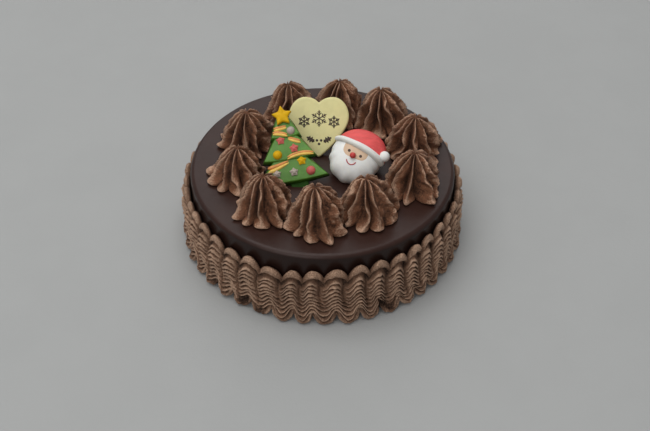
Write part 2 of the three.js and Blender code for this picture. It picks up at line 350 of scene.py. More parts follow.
@dataclass
class Surface:
    """A closed skin: points in millimetres, faces, and how far each point stands out as a crest, which picks
    its tone from painted shade to painted highlight.
    """

    points: Array
    faces: list[Array]
    crest: Array

    @classmethod
    def capped(cls, rings: Array, start: Array, end: Array, crest: Array) -> "Surface":
        """A skin through rings that closes to a single point at either end.

        Args:
            rings: Points, as rings, points of a ring, and axes.
            start: The point before the first ring.
            end: The point after the last ring.
            crest: One value for each ring and point.

        Returns:
            The closed surface.
        """
        rows, columns = rings.shape[:2]
        ring = np.arange(columns)
        after = np.roll(ring, -1)
        first, last = rows * columns, rows * columns + 1
        top = (rows - 1) * columns
        fans = [
            np.stack([after, ring, np.full(columns, first)], axis=1),
            np.stack([top + ring, top + after, np.full(columns, last)], axis=1),
        ]
        points = np.vstack([rings.reshape(-1, 3), start[None], end[None]])
        marks = np.concatenate([crest.ravel(), [crest[0].mean(), crest[-1].mean()]])
        return cls(points, [grid_faces(rows, columns, False), *fans], marks).outward()

    @classmethod
    def endless(cls, rings: Array, crest: Array) -> "Surface":
        """A skin through rings whose last ring joins the first, as a tyre's does."""
        rows, columns = rings.shape[:2]
        return cls(rings.reshape(-1, 3), [grid_faces(rows, columns, True)], crest.ravel()).outward()

    @classmethod
    def joined(cls, surfaces: list["Surface"]) -> "Surface":
        """Several skins as one.

        Args:
            surfaces: The skins, in order.

        Returns:
            One surface with all their points and faces.
        """
        starts = np.cumsum([0] + [len(each.points) for each in surfaces[:-1]])
        faces = [block + start for each, start in zip(surfaces, starts) for block in each.faces]
        points = np.vstack([each.points for each in surfaces])
        return cls(points, faces, np.concatenate([each.crest for each in surfaces]))

    def outward(self) -> "Surface":
        """The same skin with its faces turned outwards.

        The volume inside is a sixth of the sum of a . (b x c) over its triangles, and it is
        negative when the faces point inwards.

        Returns:
            This surface, or one with each face's corners in the other order.
        """
        fans = [block[:, [0, k, k + 1]] for block in self.faces for k in range(1, block.shape[1] - 1)]
        a, b, c = (self.points[np.vstack(fans)[:, k]] for k in range(3))
        if np.einsum("ij,ij->", a, np.cross(b, c)) >= 0.0:
            return self
        return Surface(self.points, [block[:, ::-1] for block in self.faces], self.crest)

    def placed(self, stand: "Stand") -> "Surface":
        """The same skin, carried from a topper's own plane to its place on the cake."""
        return Surface(stand.carry(self.points), self.faces, self.crest)

    def seated(self, height: float) -> "Surface":
        """The same skin pressed flat where it would go below a height."""
        lowest = np.array([-math.inf, -math.inf, height])
        return Surface(np.maximum(self.points, lowest), self.faces, self.crest)


@dataclass(frozen=True)
class Stand:
    """Where a topper's own plane stands on the cake, how far it leans back, and its roll in that plane."""

    foot: Point3
    lean: float
    roll: float = 0.0

    def carry(self, points: Array) -> Array:
        """Points of the topper's plane in the cake's frame: turned by the roll, then the lean, then moved.

        Args:
            points: Places in the topper's own axes, with the axes last.

        Returns:
            The places in the cake's frame.
        """
        leaned = Matrix.Rotation(math.radians(self.lean), 3, "X")
        rolled = Matrix.Rotation(math.radians(self.roll), 3, "Z")
        return points @ np.array(leaned @ rolled).T + np.array(self.foot)


def globe(centre: Point3, radii: Point3, rows: int = 20, columns: int = 32) -> Surface:
    """An oval ball: sines and cosines of two angles times three radii.

    Args:
        centre: Its middle.
        radii: Its reach along each axis.
        rows: Rings between the poles.
        columns: Points in a ring.

    Returns:
        The closed surface.
    """
    rise = np.linspace(-math.pi / 2.0, math.pi / 2.0, rows + 2)[1:-1, None]
    angle = turn_steps(columns)[None, :]
    unit = around_axis(np.cos(rise), angle, np.sin(rise))
    size, middle = np.array(radii), np.array(centre)
    pole = size * np.array(UP)
    # Painted highlight on the ball's top, painted shade underneath.
    crest = ease(unit[..., 2], *GLOBE_CREST)
    return Surface.capped(unit * size + middle, middle - pole, middle + pole, crest)


def tube(path: Array, radius: Array, sides: int, across: Point3) -> Surface:
    """A round cord: circles square to a path, which shrink to a point at each end.

    Args:
        path: Points to follow, one in each row.
        radius: Its radius at each point.
        sides: Points in a circle.
        across: A direction that the path never takes, to square the circles to.

    Returns:
        The closed surface.
    """
    along = np.gradient(path, axis=0)
    along /= np.linalg.norm(along, axis=1, keepdims=True)
    side = np.cross(along, across)
    side /= np.linalg.norm(side, axis=1, keepdims=True)
    up = np.cross(side, along)
    angle = turn_steps(sides)[None, :, None]
    ring = np.cos(angle) * side[:, None] + np.sin(angle) * up[:, None]
    rings = path[:, None] + radius[:, None, None] * ring
    # Painted highlight on the cord's upper side, painted shade underneath.
    crest = np.broadcast_to(ease(np.sin(angle[..., 0]), *CORD_CREST), rings.shape[:2])
    return Surface.capped(rings, path[0], path[-1], crest)


def round_ends(count: int, share: float) -> Array:
    """Radius shares of a cord with rounded ends: a quarter circle over the first and last share of it.

    Args:
        count: Number of points along the cord.
        share: Part of its length that each end takes.

    Returns:
        One share for each point.
    """
    place = np.linspace(0.0, 1.0, count)
    inward = np.clip(np.minimum(place, 1.0 - place) / share, 0.0, 1.0)
    rounded = np.sqrt(np.clip(1.0 - (1.0 - inward) ** 2, 0.0, 1.0))
    return rounded * (1.0 - CORD_TIP) + CORD_TIP


@dataclass(frozen=True)
class Cushion:
    """A flat moulded shape with rounded edges and a slightly domed face, its back at a given height."""

    outline: Array
    centre: Point2
    back: float
    thick: float
    edge: float
    dome: float
    flare: float = 0.0
    edge_rows: int = 7
    face_rows: int = 12

    def surface(self) -> Surface:
        """Rings from the back over the rounded edge to the middle of the face.

        A ring of the edge is the outline drawn in by edge * (1 - cos a) at height
        thick - edge * (1 - sin a); a ring of the face is the edge's last ring times a share,
        raised by dome * (1 - share squared). The wall spreads out by the flare towards its back.

        Returns:
            The closed surface.
        """
        middle = np.array(self.centre)
        spoke = self.outline - middle
        reach = np.linalg.norm(spoke, axis=1, keepdims=True)
        angle = np.linspace(0.0, math.pi / 2.0, self.edge_rows)
        wall = [self.edge / 2.0 - self.flare, -self.flare]
        inset = np.concatenate([wall, self.edge * (1.0 - np.cos(angle))])
        height = np.concatenate([[0.0, self.edge / 4.0], self.thick - self.edge * (1.0 - np.sin(angle))])
        share = np.linspace(1.0, 0.0, self.face_rows + 1)[1:-1]
        inset = np.concatenate([inset, np.full(len(share), self.edge)])
        height = np.concatenate([height, self.thick + self.dome * (1.0 - share**2)])
        shrink = np.concatenate([np.ones(self.edge_rows + 2), share])
        flat = middle + spoke[None] * (1.0 - inset[:, None, None] / reach[None]) * shrink[:, None, None]
        tall = np.broadcast_to((self.back + height)[:, None, None], (*flat.shape[:2], 1))
        rings = np.concatenate([flat, tall], axis=2)
        # Crest value rises from the back up the wall to the face: painted shade on the wall, painted
        # highlight on the face.
        crest = np.broadcast_to(ease(height, 0.0, self.thick)[:, None], flat.shape[:2])
        face_middle = np.append(middle, self.back + self.thick + self.dome)
        return Surface.capped(rings, np.append(middle, self.back), face_middle, crest)


# Shader nodes

# Numbers of a colour mix node's sockets: its share and two colours going in, and its result
MIX_INPUTS = (0, 6, 7)
MIX_RESULT = 2


class NodeTree:
    """Adds and joins shader nodes in one material or group."""

    def __init__(self, tree: bpy.types.NodeTree) -> None:
        """Keeps the tree to work in."""
        self.tree = tree

    def add(self, kind: str, **settings: object) -> bpy.types.Node:
        """A new node with its properties set.

        Args:
            kind: The node's type name.
            **settings: Properties of the node.

        Returns:
            The node.
        """
        node = self.tree.nodes.new(kind)
        for key, value in settings.items():
            setattr(node, key, value)
        return node

    def join(self, source: Socket, target: Socket) -> None:
        """Links an output to an input."""
        self.tree.links.new(source, target)

    def noise(self, vector: Socket, detail: float, rough: float) -> bpy.types.Node:
        """A noise texture read at a vector.

        Args:
            vector: Where the texture is read.
            detail: How many finer layers it has.
            rough: How strong the finer layers are.

        Returns:
            The node.
        """
        node = self.add("ShaderNodeTexNoise")
        node.inputs["Detail"].default_value = detail
        node.inputs["Roughness"].default_value = rough
        self.join(vector, node.inputs["Vector"])
        return node

    def spread(self, value: Socket, span: Span, out: Span) -> Socket:
        """Maps one range of a value to another, smoothly and clamped.

        Args:
            value: The socket to read.
            span: Lowest and highest value read.
            out: Values put out at those two.

        Returns:
            The mapped value's socket.
        """
        node = self.add("ShaderNodeMapRange", interpolation_type="SMOOTHSTEP")
        for name, number in zip(("From Min", "From Max", "To Min", "To Max"), (*span, *out)):
            node.inputs[name].default_value = number
        self.join(value, node.inputs["Value"])
        return node.outputs["Result"]

    def mix(self, share: Socket, first: Socket, second: Socket, mode: str = "MIX") -> Socket:
        """A colour mixed from two by a share.

        Args:
            share: How much of the second colour is in the mix.
            first: A colour.
            second: Another colour.
            mode: How the second is mixed in.

        Returns:
            The mixed colour's socket.
        """
        node = self.add("ShaderNodeMix", data_type="RGBA", blend_type=mode)
        for source, number in zip((share, first, second), MIX_INPUTS):
            self.join(source, node.inputs[number])
        return node.outputs[MIX_RESULT]

    def sum(self, first: Socket, second: Socket, weight: float) -> Socket:
        """First plus weight times second.

        Args:
            first: A value.
            second: Another value.
            weight: How much of the second is added.

        Returns:
            The sum's socket.
        """
        node = self.add("ShaderNodeMath", operation="MULTIPLY_ADD")
        self.join(second, node.inputs[0])
        node.inputs[1].default_value = weight
        self.join(first, node.inputs[2])
        return node.outputs[0]


@dataclass
class Effects:
    """Node groups that several finishes share, each built once."""

    groups: dict[str, bpy.types.NodeTree] = field(default_factory=dict)
    details: tuple[tuple[str, float], ...] = (("Blotch", 3.0), ("Grain", 4.0))
    layer_strength: float = 0.6
    noise_span: Span = (0.28, 0.72)
    body_at: float = 0.55
    blotch_tones: Span = (0.6, 1.3)

    def begin(self, name: str, inputs: dict[str, str], outputs: dict[str, str]) -> NodeTree:
        """Makes a group with its sockets and keeps it under its name.

        Args:
            name: Name of the group.
            inputs: Each input's name and kind.
            outputs: Each output's name and kind.

        Returns:
            The group's tree, to add nodes to.
        """
        tree = bpy.data.node_groups.new(name, "ShaderNodeTree")
        for direction, sockets in (("INPUT", inputs), ("OUTPUT", outputs)):
            for label, kind in sockets.items():
                tree.interface.new_socket(label, in_out=direction, socket_type=f"NodeSocket{kind}")
        self.groups[name] = tree
        return NodeTree(tree)

    def mottle(self) -> bpy.types.NodeTree:
        """Wide blotches and fine grain read from a vector.

        Returns:
            A group with inputs Vector, Blotch Scale and Grain Scale, and outputs Blotch and Grain.
        """
        if "mottle" not in self.groups:
            inputs = {"Vector": "Vector", "Blotch Scale": "Float", "Grain Scale": "Float"}
            kit = self.begin("mottle", inputs, {"Blotch": "Float", "Grain": "Float"})
            source, sink = kit.add("NodeGroupInput"), kit.add("NodeGroupOutput")
            for name, detail in self.details:
                noise = kit.noise(source.outputs["Vector"], detail, self.layer_strength)
                kit.join(source.outputs[f"{name} Scale"], noise.inputs["Scale"])
                kit.join(kit.spread(noise.outputs["Fac"], self.noise_span, UNIT), sink.inputs[name])
        return self.groups["mottle"]

    def shade_and_blotch_tint(self) -> bpy.types.NodeTree:
        """A colour that goes from the painted shade of hollows to the body colour to the painted highlight of
        crests, made lighter and darker in blotches.

        Returns:
            A group with inputs Crest, Blotch, Blotch Depth and three colours, and output Colour.
        """
        if "shade_and_blotch_tint" not in self.groups:
            values = dict.fromkeys(("Crest", "Blotch", "Blotch Depth"), "Float")
            tones = dict.fromkeys(("Hollow Colour", "Body Colour", "Crest Colour"), "Color")
            kit = self.begin("shade_and_blotch_tint", values | tones, {"Colour": "Color"})
            given, sink = kit.add("NodeGroupInput").outputs, kit.add("NodeGroupOutput")
            below = kit.spread(given["Crest"], (0.0, self.body_at), UNIT)
            above = kit.spread(given["Crest"], (self.body_at, 1.0), UNIT)
            low = kit.mix(below, given["Hollow Colour"], given["Body Colour"])
            high = kit.mix(above, low, given["Crest Colour"])
            patches = kit.spread(given["Blotch"], UNIT, self.blotch_tones)
            shade = kit.mix(given["Blotch Depth"], high, patches, "MULTIPLY")
            kit.join(shade, sink.inputs["Colour"])
        return self.groups["shade_and_blotch_tint"]


EFFECTS = Effects()


@dataclass(frozen=True)
class Finish:
    """An edible finish: three tones from painted shade in hollows through its body colour to painted
    highlight on crests, its gloss, and its blotches and grain.
    """

    name: str
    hollow: Colour
    body: Colour
    crest: Colour
    rough: Span = (0.4, 0.55)
    specular: float = 0.4
    blotch_size: float = 3.0
    blotch_depth: float = 0.25
    grain_size: float = 0.7
    grain_tone: float = 0.1
    relief: float = 0.05
    blotch_relief: float = 0.4
    scatter: float = 0.0
    scatter_reach: float = 1.2
    streak: Point3 = (1.0, 1.0, 1.0)
    scatter_tint: Point3 = (1.0, 0.7, 0.5)

    def material(self) -> bpy.types.Material:
        """Builds the finish: mottled tones by crest value, from painted shade to painted highlight, varied
        roughness and a fine bump.

        Returns:
            The new material.
        """
        made = bpy.data.materials.new(self.name)
        made.use_nodes = True
        kit = NodeTree(made.node_tree)
        kit.tree.nodes.clear()
        out, skin = kit.add("ShaderNodeOutputMaterial"), kit.add("ShaderNodeBsdfPrincipled")
        kit.join(skin.outputs["BSDF"], out.inputs["Surface"])
        place, stretch = kit.add("ShaderNodeTexCoord"), kit.add("ShaderNodeMapping")
        kit.join(place.outputs["Object"], stretch.inputs["Vector"])
        stretch.inputs["Scale"].default_value = self.streak
        mottle = kit.add("ShaderNodeGroup", node_tree=EFFECTS.mottle())
        kit.join(stretch.outputs["Vector"], mottle.inputs["Vector"])
        mottle.inputs["Blotch Scale"].default_value = 1.0 / (self.blotch_size * MM)
        mottle.inputs["Grain Scale"].default_value = 1.0 / (self.grain_size * MM)
        crest = kit.add("ShaderNodeAttribute", attribute_name="crest")
        tint = kit.add("ShaderNodeGroup", node_tree=EFFECTS.shade_and_blotch_tint())
        toned = kit.sum(crest.outputs["Fac"], mottle.outputs["Grain"], self.grain_tone)
        kit.join(toned, tint.inputs["Crest"])
        kit.join(mottle.outputs["Blotch"], tint.inputs["Blotch"])
        tint.inputs["Blotch Depth"].default_value = self.blotch_depth
        # The hollow colour is painted shade and the crest colour is painted highlight.
        for name, tone in (("Hollow", self.hollow), ("Body", self.body), ("Crest", self.crest)):
            tint.inputs[f"{name} Colour"].default_value = (*tone, 1.0)
        kit.join(tint.outputs["Colour"], skin.inputs["Base Color"])
        kit.join(kit.spread(mottle.outputs["Grain"], UNIT, self.rough), skin.inputs["Roughness"])
        skin.inputs["Specular IOR Level"].default_value = self.specular
        skin.inputs["Subsurface Weight"].default_value = self.scatter
        skin.inputs["Subsurface Radius"].default_value = self.scatter_tint
        skin.inputs["Subsurface Scale"].default_value = self.scatter_reach * MM
        bump = kit.add("ShaderNodeBump")
        bump.inputs["Strength"].default_value = 1.0
        bump.inputs["Distance"].default_value = self.relief * MM
        height = kit.sum(mottle.outputs["Grain"], mottle.outputs["Blotch"], self.blotch_relief)
        kit.join(height, bump.inputs["Height"])
        kit.join(bump.outputs["Normal"], skin.inputs["Normal"])
        return made


# In each finish below, the hollow tone is painted shade and the crest tone is painted highlight, picked by
# each point's crest value; the floor's three tones are alike, and the print keeps one tone.
FRILL_CREAM = Finish(
    "frill_cream", (0.022, 0.009, 0.005), (0.262, 0.144, 0.089), (0.6, 0.385, 0.262),
    rough=(0.5, 0.72), specular=0.25, blotch_size=9.0, blotch_depth=0.35, grain_size=0.8, grain_tone=0.26,
    relief=0.8,
)
ROSETTE_CREAM = Finish(
    "rosette_cream", (0.034, 0.012, 0.005), (0.285, 0.12, 0.061), (0.76, 0.47, 0.315),
    rough=(0.42, 0.65), specular=0.3, blotch_size=4.0, blotch_depth=0.5, grain_size=0.8, grain_tone=0.32,
    relief=0.9,
)
DARK_GLAZE = Finish(
    "dark_glaze", (0.015, 0.006, 0.0042), (0.027, 0.0113, 0.008), (0.032, 0.0133, 0.0096),
    rough=(0.32, 0.38), specular=0.25, blotch_size=28.0, grain_size=3.0, relief=0.02, blotch_relief=2.0,
)
IVORY_CHOCOLATE = Finish(
    "ivory_chocolate", (0.36, 0.31, 0.11), (0.66, 0.6, 0.27), (0.69, 0.635, 0.3),
    rough=(0.4, 0.5), blotch_size=5.0, blotch_depth=0.08, relief=0.03, scatter=0.1,
)
BROWN_PRINT = Finish(
    "brown_print", (0.03, 0.017, 0.009), (0.045, 0.027, 0.015), (0.055, 0.033, 0.018),
    rough=(0.45, 0.6), blotch_size=2.0, grain_size=0.4, relief=0.03,
)
GREEN_SUGAR = Finish(
    "green_sugar", (0.009, 0.04, 0.003), (0.06, 0.185, 0.016), (0.085, 0.225, 0.025),
    rough=(0.32, 0.48), blotch_size=5.0,
)
# Painted shadow: the trunk's tones are darkened to stand for the shade under the lowest tier.
SHADOWED_TRUNK_SUGAR = Finish(
    "trunk_sugar_painted_shadow", (0.004, 0.016, 0.002), (0.012, 0.045, 0.005), (0.02, 0.065, 0.008),
    rough=(0.6, 0.75), specular=0.1, blotch_size=4.0,
)
YELLOW_SUGAR = Finish(
    "yellow_sugar", (0.42, 0.18, 0.004), (0.6, 0.33, 0.005), (0.66, 0.38, 0.007),
    rough=(0.35, 0.5), specular=0.12, blotch_size=4.0, blotch_depth=0.15, scatter=0.05,
)
RED_SUGAR = Finish(
    "red_sugar", (0.38, 0.05, 0.04), (0.52, 0.085, 0.07), (0.58, 0.12, 0.1),
    grain_size=0.6, relief=0.06, scatter=0.05,
)
CAP_SUGAR = Finish(
    "cap_sugar", (0.5, 0.031, 0.029), (0.65, 0.049, 0.045), (0.73, 0.09, 0.086),
    rough=(0.45, 0.6), grain_size=0.8, relief=0.1, scatter=0.05, streak=(0.3, 1.3, 1.3),
)
NOSE_SUGAR = Finish(
    "nose_sugar", (0.36, 0.02, 0.018), (0.46, 0.03, 0.026), (0.5, 0.045, 0.04),
    rough=(0.25, 0.35), blotch_size=2.0, grain_size=0.5, relief=0.03,
)
GREY_SUGAR = Finish(
    "grey_sugar", (0.26, 0.2, 0.15), (0.38, 0.3, 0.24), (0.44, 0.37, 0.31),
    blotch_size=2.5, grain_size=0.6, relief=0.06,
)
ORANGE_SUGAR = Finish(
    "orange_sugar", (0.5, 0.14, 0.03), (0.66, 0.23, 0.055), (0.7, 0.29, 0.08),
    grain_size=0.6,
)
AMBER_SUGAR = Finish(
    "amber_sugar", (0.6, 0.3, 0.03), (0.78, 0.47, 0.07), (0.82, 0.54, 0.11),
    grain_size=0.6,
)
WHITE_SUGAR = Finish(
    "white_sugar", (0.6, 0.59, 0.54), (0.74, 0.735, 0.69), (0.79, 0.79, 0.76),
    rough=(0.45, 0.6), blotch_size=6.0, blotch_depth=0.08, grain_size=0.8, relief=0.03, scatter=0.12,
)
SKIN_SUGAR = Finish(
    "skin_sugar", (0.58, 0.39, 0.25), (0.64, 0.45, 0.3), (0.66, 0.47, 0.32),
    rough=(0.45, 0.6), blotch_size=4.0, blotch_depth=0.1, relief=0.03, scatter=0.1,
)
DARK_SUGAR = Finish(
    "dark_sugar", (0.03, 0.018, 0.012), (0.045, 0.027, 0.02), (0.06, 0.036, 0.027),
    rough=(0.3, 0.4), blotch_size=1.0, grain_size=0.4, relief=0.02,
)
MOUTH_SUGAR = Finish(
    "mouth_sugar", (0.38, 0.06, 0.06), (0.46, 0.08, 0.08), (0.5, 0.1, 0.1),
    rough=(0.4, 0.5), blotch_size=1.0, grain_size=0.4, relief=0.02,
)
FLOOR_PAPER = Finish(
    "floor_paper", (0.372, 0.376, 0.37), (0.372, 0.376, 0.37), (0.372, 0.376, 0.37),
    rough=(0.75, 0.85), specular=0.1, blotch_size=60.0, blotch_depth=0.03, grain_size=2.0, relief=0.03,
)


# Pieces


@dataclass
class Maker:
    """Writes surfaces into the scene as pieces of the cake."""

    materials: dict[str, bpy.types.Material] = field(default_factory=dict)

    def dress(self, finish: Finish) -> bpy.types.Material:
        """The finish's material, built the first time it is asked for.

        Args:
            finish: The finish.

        Returns:
            Its material.
        """
        if finish.name not in self.materials:
            self.materials[finish.name] = finish.material()
        return self.materials[finish.name]

    def mesh_object(self, name: str, surface: Surface, finish: Finish) -> bpy.types.Object:
        """A smooth mesh at the origin, in metres, with its crest values and its material.

        Args:
            name: Name of the object.
            surface: Its skin.
            finish: Its finish.

        Returns:
            The object, linked to the scene.
        """
        mesh = bpy.data.meshes.new(name)
        faces = [face for block in surface.faces for face in block.tolist()]
        mesh.from_pydata((surface.points * MM).tolist(), [], faces)
        mesh.polygons.foreach_set("use_smooth", np.ones(len(faces), bool))
        # The crest attribute carries each point's share of painted shade or painted highlight to its
        # material.
        mark = mesh.attributes.new("crest", "FLOAT", "POINT")
        mark.data.foreach_set("value", surface.crest.astype(np.float32))
        mesh.materials.append(self.dress(finish))
        mesh.update()
        made = bpy.data.objects.new(name, mesh)
        bpy.context.scene.collection.objects.link(made)
        return made

    def piece(self, name: str, surface: Surface, finish: Finish, node: str) -> None:
        """Makes a piece that rides on the cake and stands for one of its solids.

        Args:
            name: Name of the piece.
            surface: Its skin.
            finish: Its finish.
            node: The solid that it stands for.
        """
        made = self.mesh_object(name, surface, finish)
        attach(made, BODY)
        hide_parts(node)
        LOG.info("%s stands for %s: %d points", name, node, len(surface.points))


@dataclass
class GlazedCake:
    """The turned body under its glaze."""

    radius: float = 82.0
    height: float = 50.5
    edge: float = 3.0
    foot: float = 1.2
    sag: float = 0.22
    sag_size: float = 24.0
    columns: int = 192
    edge_rows: int = 20
    side_rows: int = 14
    top_rows: int = 40
    last_ring: float = 2.0
    noise: LatticeNoise = LatticeNoise(11)

    def profile(self) -> Array:
        """Radius and height from the foot up the side, round the edge and in to the middle.

        Returns:
            One pair in each row.
        """
        angle = np.linspace(0.0, math.pi / 2.0, self.edge_rows)
        side = np.linspace(self.foot, self.height - self.edge, self.side_rows)[:-1]
        inward = np.linspace(self.radius - self.edge, self.last_ring, self.top_rows)[1:]
        radius = np.concatenate([
            [self.radius - self.foot],
            np.full(len(side), self.radius),
            self.radius - self.edge * (1.0 - np.cos(angle)),
            inward,
        ])
        height = np.concatenate([
            [0.0],
            side,
            self.height - self.edge * (1.0 - np.sin(angle)),
            np.full(len(inward), self.height),
        ])
        return np.stack([radius, height], axis=1)

    def surface(self) -> Surface:
        """The profile turned round +Z, drawn in a little by noise as poured glaze is uneven.

        Returns:
            The closed surface.
        """
        radius, height = self.profile().T
        angle = turn_steps(self.columns)
        rings = around_axis(radius[:, None], angle, height[:, None])
        dip = self.sag * (0.5 + 0.5 * self.noise.layered(rings, self.sag_size))
        side = ease(height, 0.0, 2.0 * self.foot) * ease(radius, self.radius - self.edge, self.radius)
        top = ease(height, self.height - self.edge, self.height)
        rings[..., :2] *= (1.0 - dip * side[:, None] / self.radius)[..., None]
        rings[..., 2] -= dip * top[:, None]
        # Crest value is low down the side and round the edge and high on the top: painted shade on the side.
        crest = ease(rings[..., 2], self.height - self.edge, self.height - self.sag)
        middle = np.array([0.0, 0.0, self.height - self.sag / 2.0])
        return Surface.capped(rings, np.zeros(3), middle, crest)

    def build(self, maker: Maker) -> None:
        """Makes and dresses the glazed body."""
        maker.piece("cake_glaze", self.surface(), DARK_GLAZE, "glazed_cake")


@dataclass(frozen=True)
class Dent:
    """A torn hollow in the frill: its place round the cake and up it, its width and its depth."""

    angle: float
    height: float
    width: float
    depth: float


@dataclass(frozen=True)
class Ribbon:
    """The plain ribbon before it is ribbed, as arrays over the section's rows and round the cake.

    Level is a row's share of the height, leaning is the creases' phase, and barrel how far creases
    part the lobes. Crestness and swell are 1 where the ribs' line and the skin are on a lobe's
    crest, and outer is 0 at the ribbon's inside.
    """

    turn: Array
    level: Array
    leaning: Array
    barrel: Array
    crestness: Array
    swell: Array
    radius: Array
    height: Array
    outer: Array


@dataclass
class SideFrill:
    """The combed ribbon piped up and down round the side.

    A section on a lobe's crest and a section in the trough between lobes are given as radius and
    height, in five stretches: foot, ribbed face, shoulder, lip and back. Barrels and the right side
    are pairs of an angle round the cake and a value there. Spans named from or to are shares of the
    ribbon's height over which something starts or stops.
    """

    lobes: int = 44
    columns_per_lobe: int = 20
    reach: float = 88.0
    inside: float = 82.4
    top: float = 39.2
    crest_angles: Values = (
        -169.5, -160.8, -153.4, -145.2, -136.9, -128.3, -119.1, -110.2, -101.2, -93.4,
        -84.2, -75.0, -66.3, -57.5, -50.0, -42.4, -34.0, -27.0, -19.0, -10.2,
    )
    lip_rise: Values = (
        0.0, 0.0, 1.0, 1.5, 0.6, -1.2, 0.0, -3.2, -2.4, -0.7,
        0.0, 0.5, 1.4, 0.4, 1.6, 1.8, 2.6, 2.0, 1.4, 0.8,
    )
    lip_from: Span = (0.4, 0.9)
    plain_back: Point2 = (20.0, 160.0)
    barrels: Line = (
        (-169.5, 1.0), (-126.0, 1.0), (-108.0, 0.1), (-68.0, 0.1), (-50.0, 0.8), (20.0, 0.5), (160.0, 0.5),
        (190.5, 1.0),
    )
    right_side: Line = (
        (-169.5, 0.0), (-75.0, 0.0), (-50.0, 1.0), (10.0, 1.0), (40.0, 0.0), (190.5, 0.0),
    )
    right_from: Span = (0.1, 0.3)
    right_to: Span = (0.8, 0.86)
    shallow: float = 0.3
    skin: Span = (0.3, 3.0)
    # Shape of the lobes, where their face and arches start, and how much lower a barrel's skin starts
    foot_power: float = 0.34
    arch_power: float = 0.6
    fullness: float = 0.7
    corner: float = 0.1
    face_from: Span = (0.085, 0.135)
    arches_from: Span = (0.76, 0.9)
    skin_arches_from: Span = (0.2, 0.45)
    skin_arches_drop: Span = (0.09, 0.2)
    wave_at: Values = (0.0, 0.33, 0.67, 0.78, 0.87, 1.0)
    waves: Values = (2.4, 3.0, 3.6, 3.4, 2.8, 3.7)
    calm: float = 0.4
    calm_to: Span = (0.6, 0.85)
    crease_at: Values = (0.15, 0.45, 0.65, 0.85, 0.93)
    crease: Values = (0.0, 0.08, 0.1, 0.12, 0.0)
    sway: Values = (0.05, -0.02, -0.13, 0.0)
    # The ribs, and the steps, heights and swell over which they start, fade and stop
    rib_lead: float = 0.2
    rib_pitch: float = 3.0
    rib_depth: float = 2.6
    rib_share: float = 0.9
    rib_middle: float = 0.8
    rib_start: float = 6.0
    ribs: float = 8.0
    rib_start_steps: Span = (-0.5, 0.0)
    rib_fade: float = 0.5
    rib_fade_steps: Span = (0.1, 0.7)
    rib_stop_heights: Span = (32.5, 33.8)
    crease_hides: float = 0.95
    crease_swell: Span = (0.3, 0.75)
    crease_heights: Span = (17.5, 23.0)
    barrel_drop: float = 6.0
    # Unevenness of the lobes, the ribs, the torn places and the cream itself
    lobe_wander: Ripple = Ripple(0.05 * math.pi, 11.0)
    lift_uneven: Ripple = Ripple(0.2, 13.0, 900.0)
    roll_uneven: Ripple = Ripple(0.35, 17.0, 1300.0)
    rib_wander: Ripple = Ripple(0.18, 6.0, layers=3)
    rib_end: Ripple = Ripple(0.8, 14.0, 400.0)
    rib_uneven: tuple[Ripple, Ripple] = (Ripple(0.35, 14.0, layers=2), Ripple(0.3, 4.0, 60.0))
    ragged: Ripple = Ripple(0.8, 2.0, layers=3)
    least_ragged: float = 0.3
    crumb: tuple[Ripple, Ripple] = (Ripple(0.4, 8.0), Ripple(0.62, 2.0, layers=3))
    bulge_crumb: Ripple = Ripple(0.55, 3.2, 200.0, 3)
    bulge_stretch: Point3 = (1.0, 1.0, 0.7)
    bulge_from: Span = (0.66, 0.74)
    bulge_to: Span = (0.84, 0.88)
    # Crest values in a trough with the gain on a crest, as painted highlight on the lobes' crests, then the
    # painted shade of neck, joints and creases, the darkening of torn places, and painted light on ribs and
    # barrels
    face_tone: Span = (0.56, 0.32)
    rope_tone: Span = (0.4, 0.26)
    rope_from: Span = (0.86, 0.9)
    neck_height: float = 33.0
    neck_width: float = 1.5
    neck_painted_shade: float = 0.85
    neck_crest: float = 0.35
    joint_painted_shade: float = 0.5
    joint_crest: Span = (0.05, 0.5)
    joint_from: Span = (0.84, 0.92)
    crease_width: float = 0.22
    crease_from: Span = (0.3, 0.5)
    crease_to: Span = (0.84, 0.9)
    crease_drop: float = 0.22
    crease_painted_shade: Span = (0.45, 0.25)
    torn_dark: float = 0.9
    rib_painted_light: float = 1.2
    barrel_painted_light: float = 0.16
    rows: tuple[int, ...] = (8, 72, 10, 18, 4)
    crest_section: tuple[Line, ...] = (
        ((82.4, 7.6), (84.0, 6.8), (85.2, 6.2), (86.2, 7.0)),
        ((86.2, 7.0), (87.1, 12.0), (88.0, 18.0), (88.5, 24.0), (88.4, 28.0), (87.9, 31.0)),
        ((87.9, 31.0), (87.1, 32.4), (85.4, 33.2), (83.7, 33.8)),
        ((83.7, 33.8), (85.5, 34.6), (86.8, 36.0), (86.4, 38.0), (85.0, 39.1), (83.0, 37.8)),
        ((83.0, 37.8), (82.4, 28.0), (82.4, 15.0), (82.4, 7.6)),
    )
    trough_section: tuple[Line, ...] = (
        ((82.4, 5.0), (85.0, 3.2), (88.2, 2.9), (89.8, 5.0)),
        ((89.8, 5.0), (88.9, 9.0), (86.8, 14.0), (85.0, 19.0), (84.0, 25.0), (83.6, 30.6)),
        ((83.6, 30.6), (83.4, 32.2), (83.1, 33.2), (82.9, 33.8)),
        ((82.9, 33.8), (84.3, 34.3), (85.0, 35.9), (84.7, 37.8), (83.9, 38.9), (82.8, 37.6)),
        ((82.8, 37.6), (82.4, 28.0), (82.4, 15.0), (82.4, 5.0)),
    )
    dents: tuple[Dent, ...] = (
        Dent(-122.2, 6.3, 2.6, 2.8),
        Dent(-115.3, 5.2, 2.4, 2.4),
        Dent(-62.4, 8.4, 2.6, 3.0),
        Dent(-65.2, 6.8, 2.2, 2.6),
        Dent(-138.0, 5.0, 2.0, 1.4),
        Dent(40.0, 7.0, 2.2, 1.8),
        Dent(150.0, 6.0, 2.0, 1.6),
    )
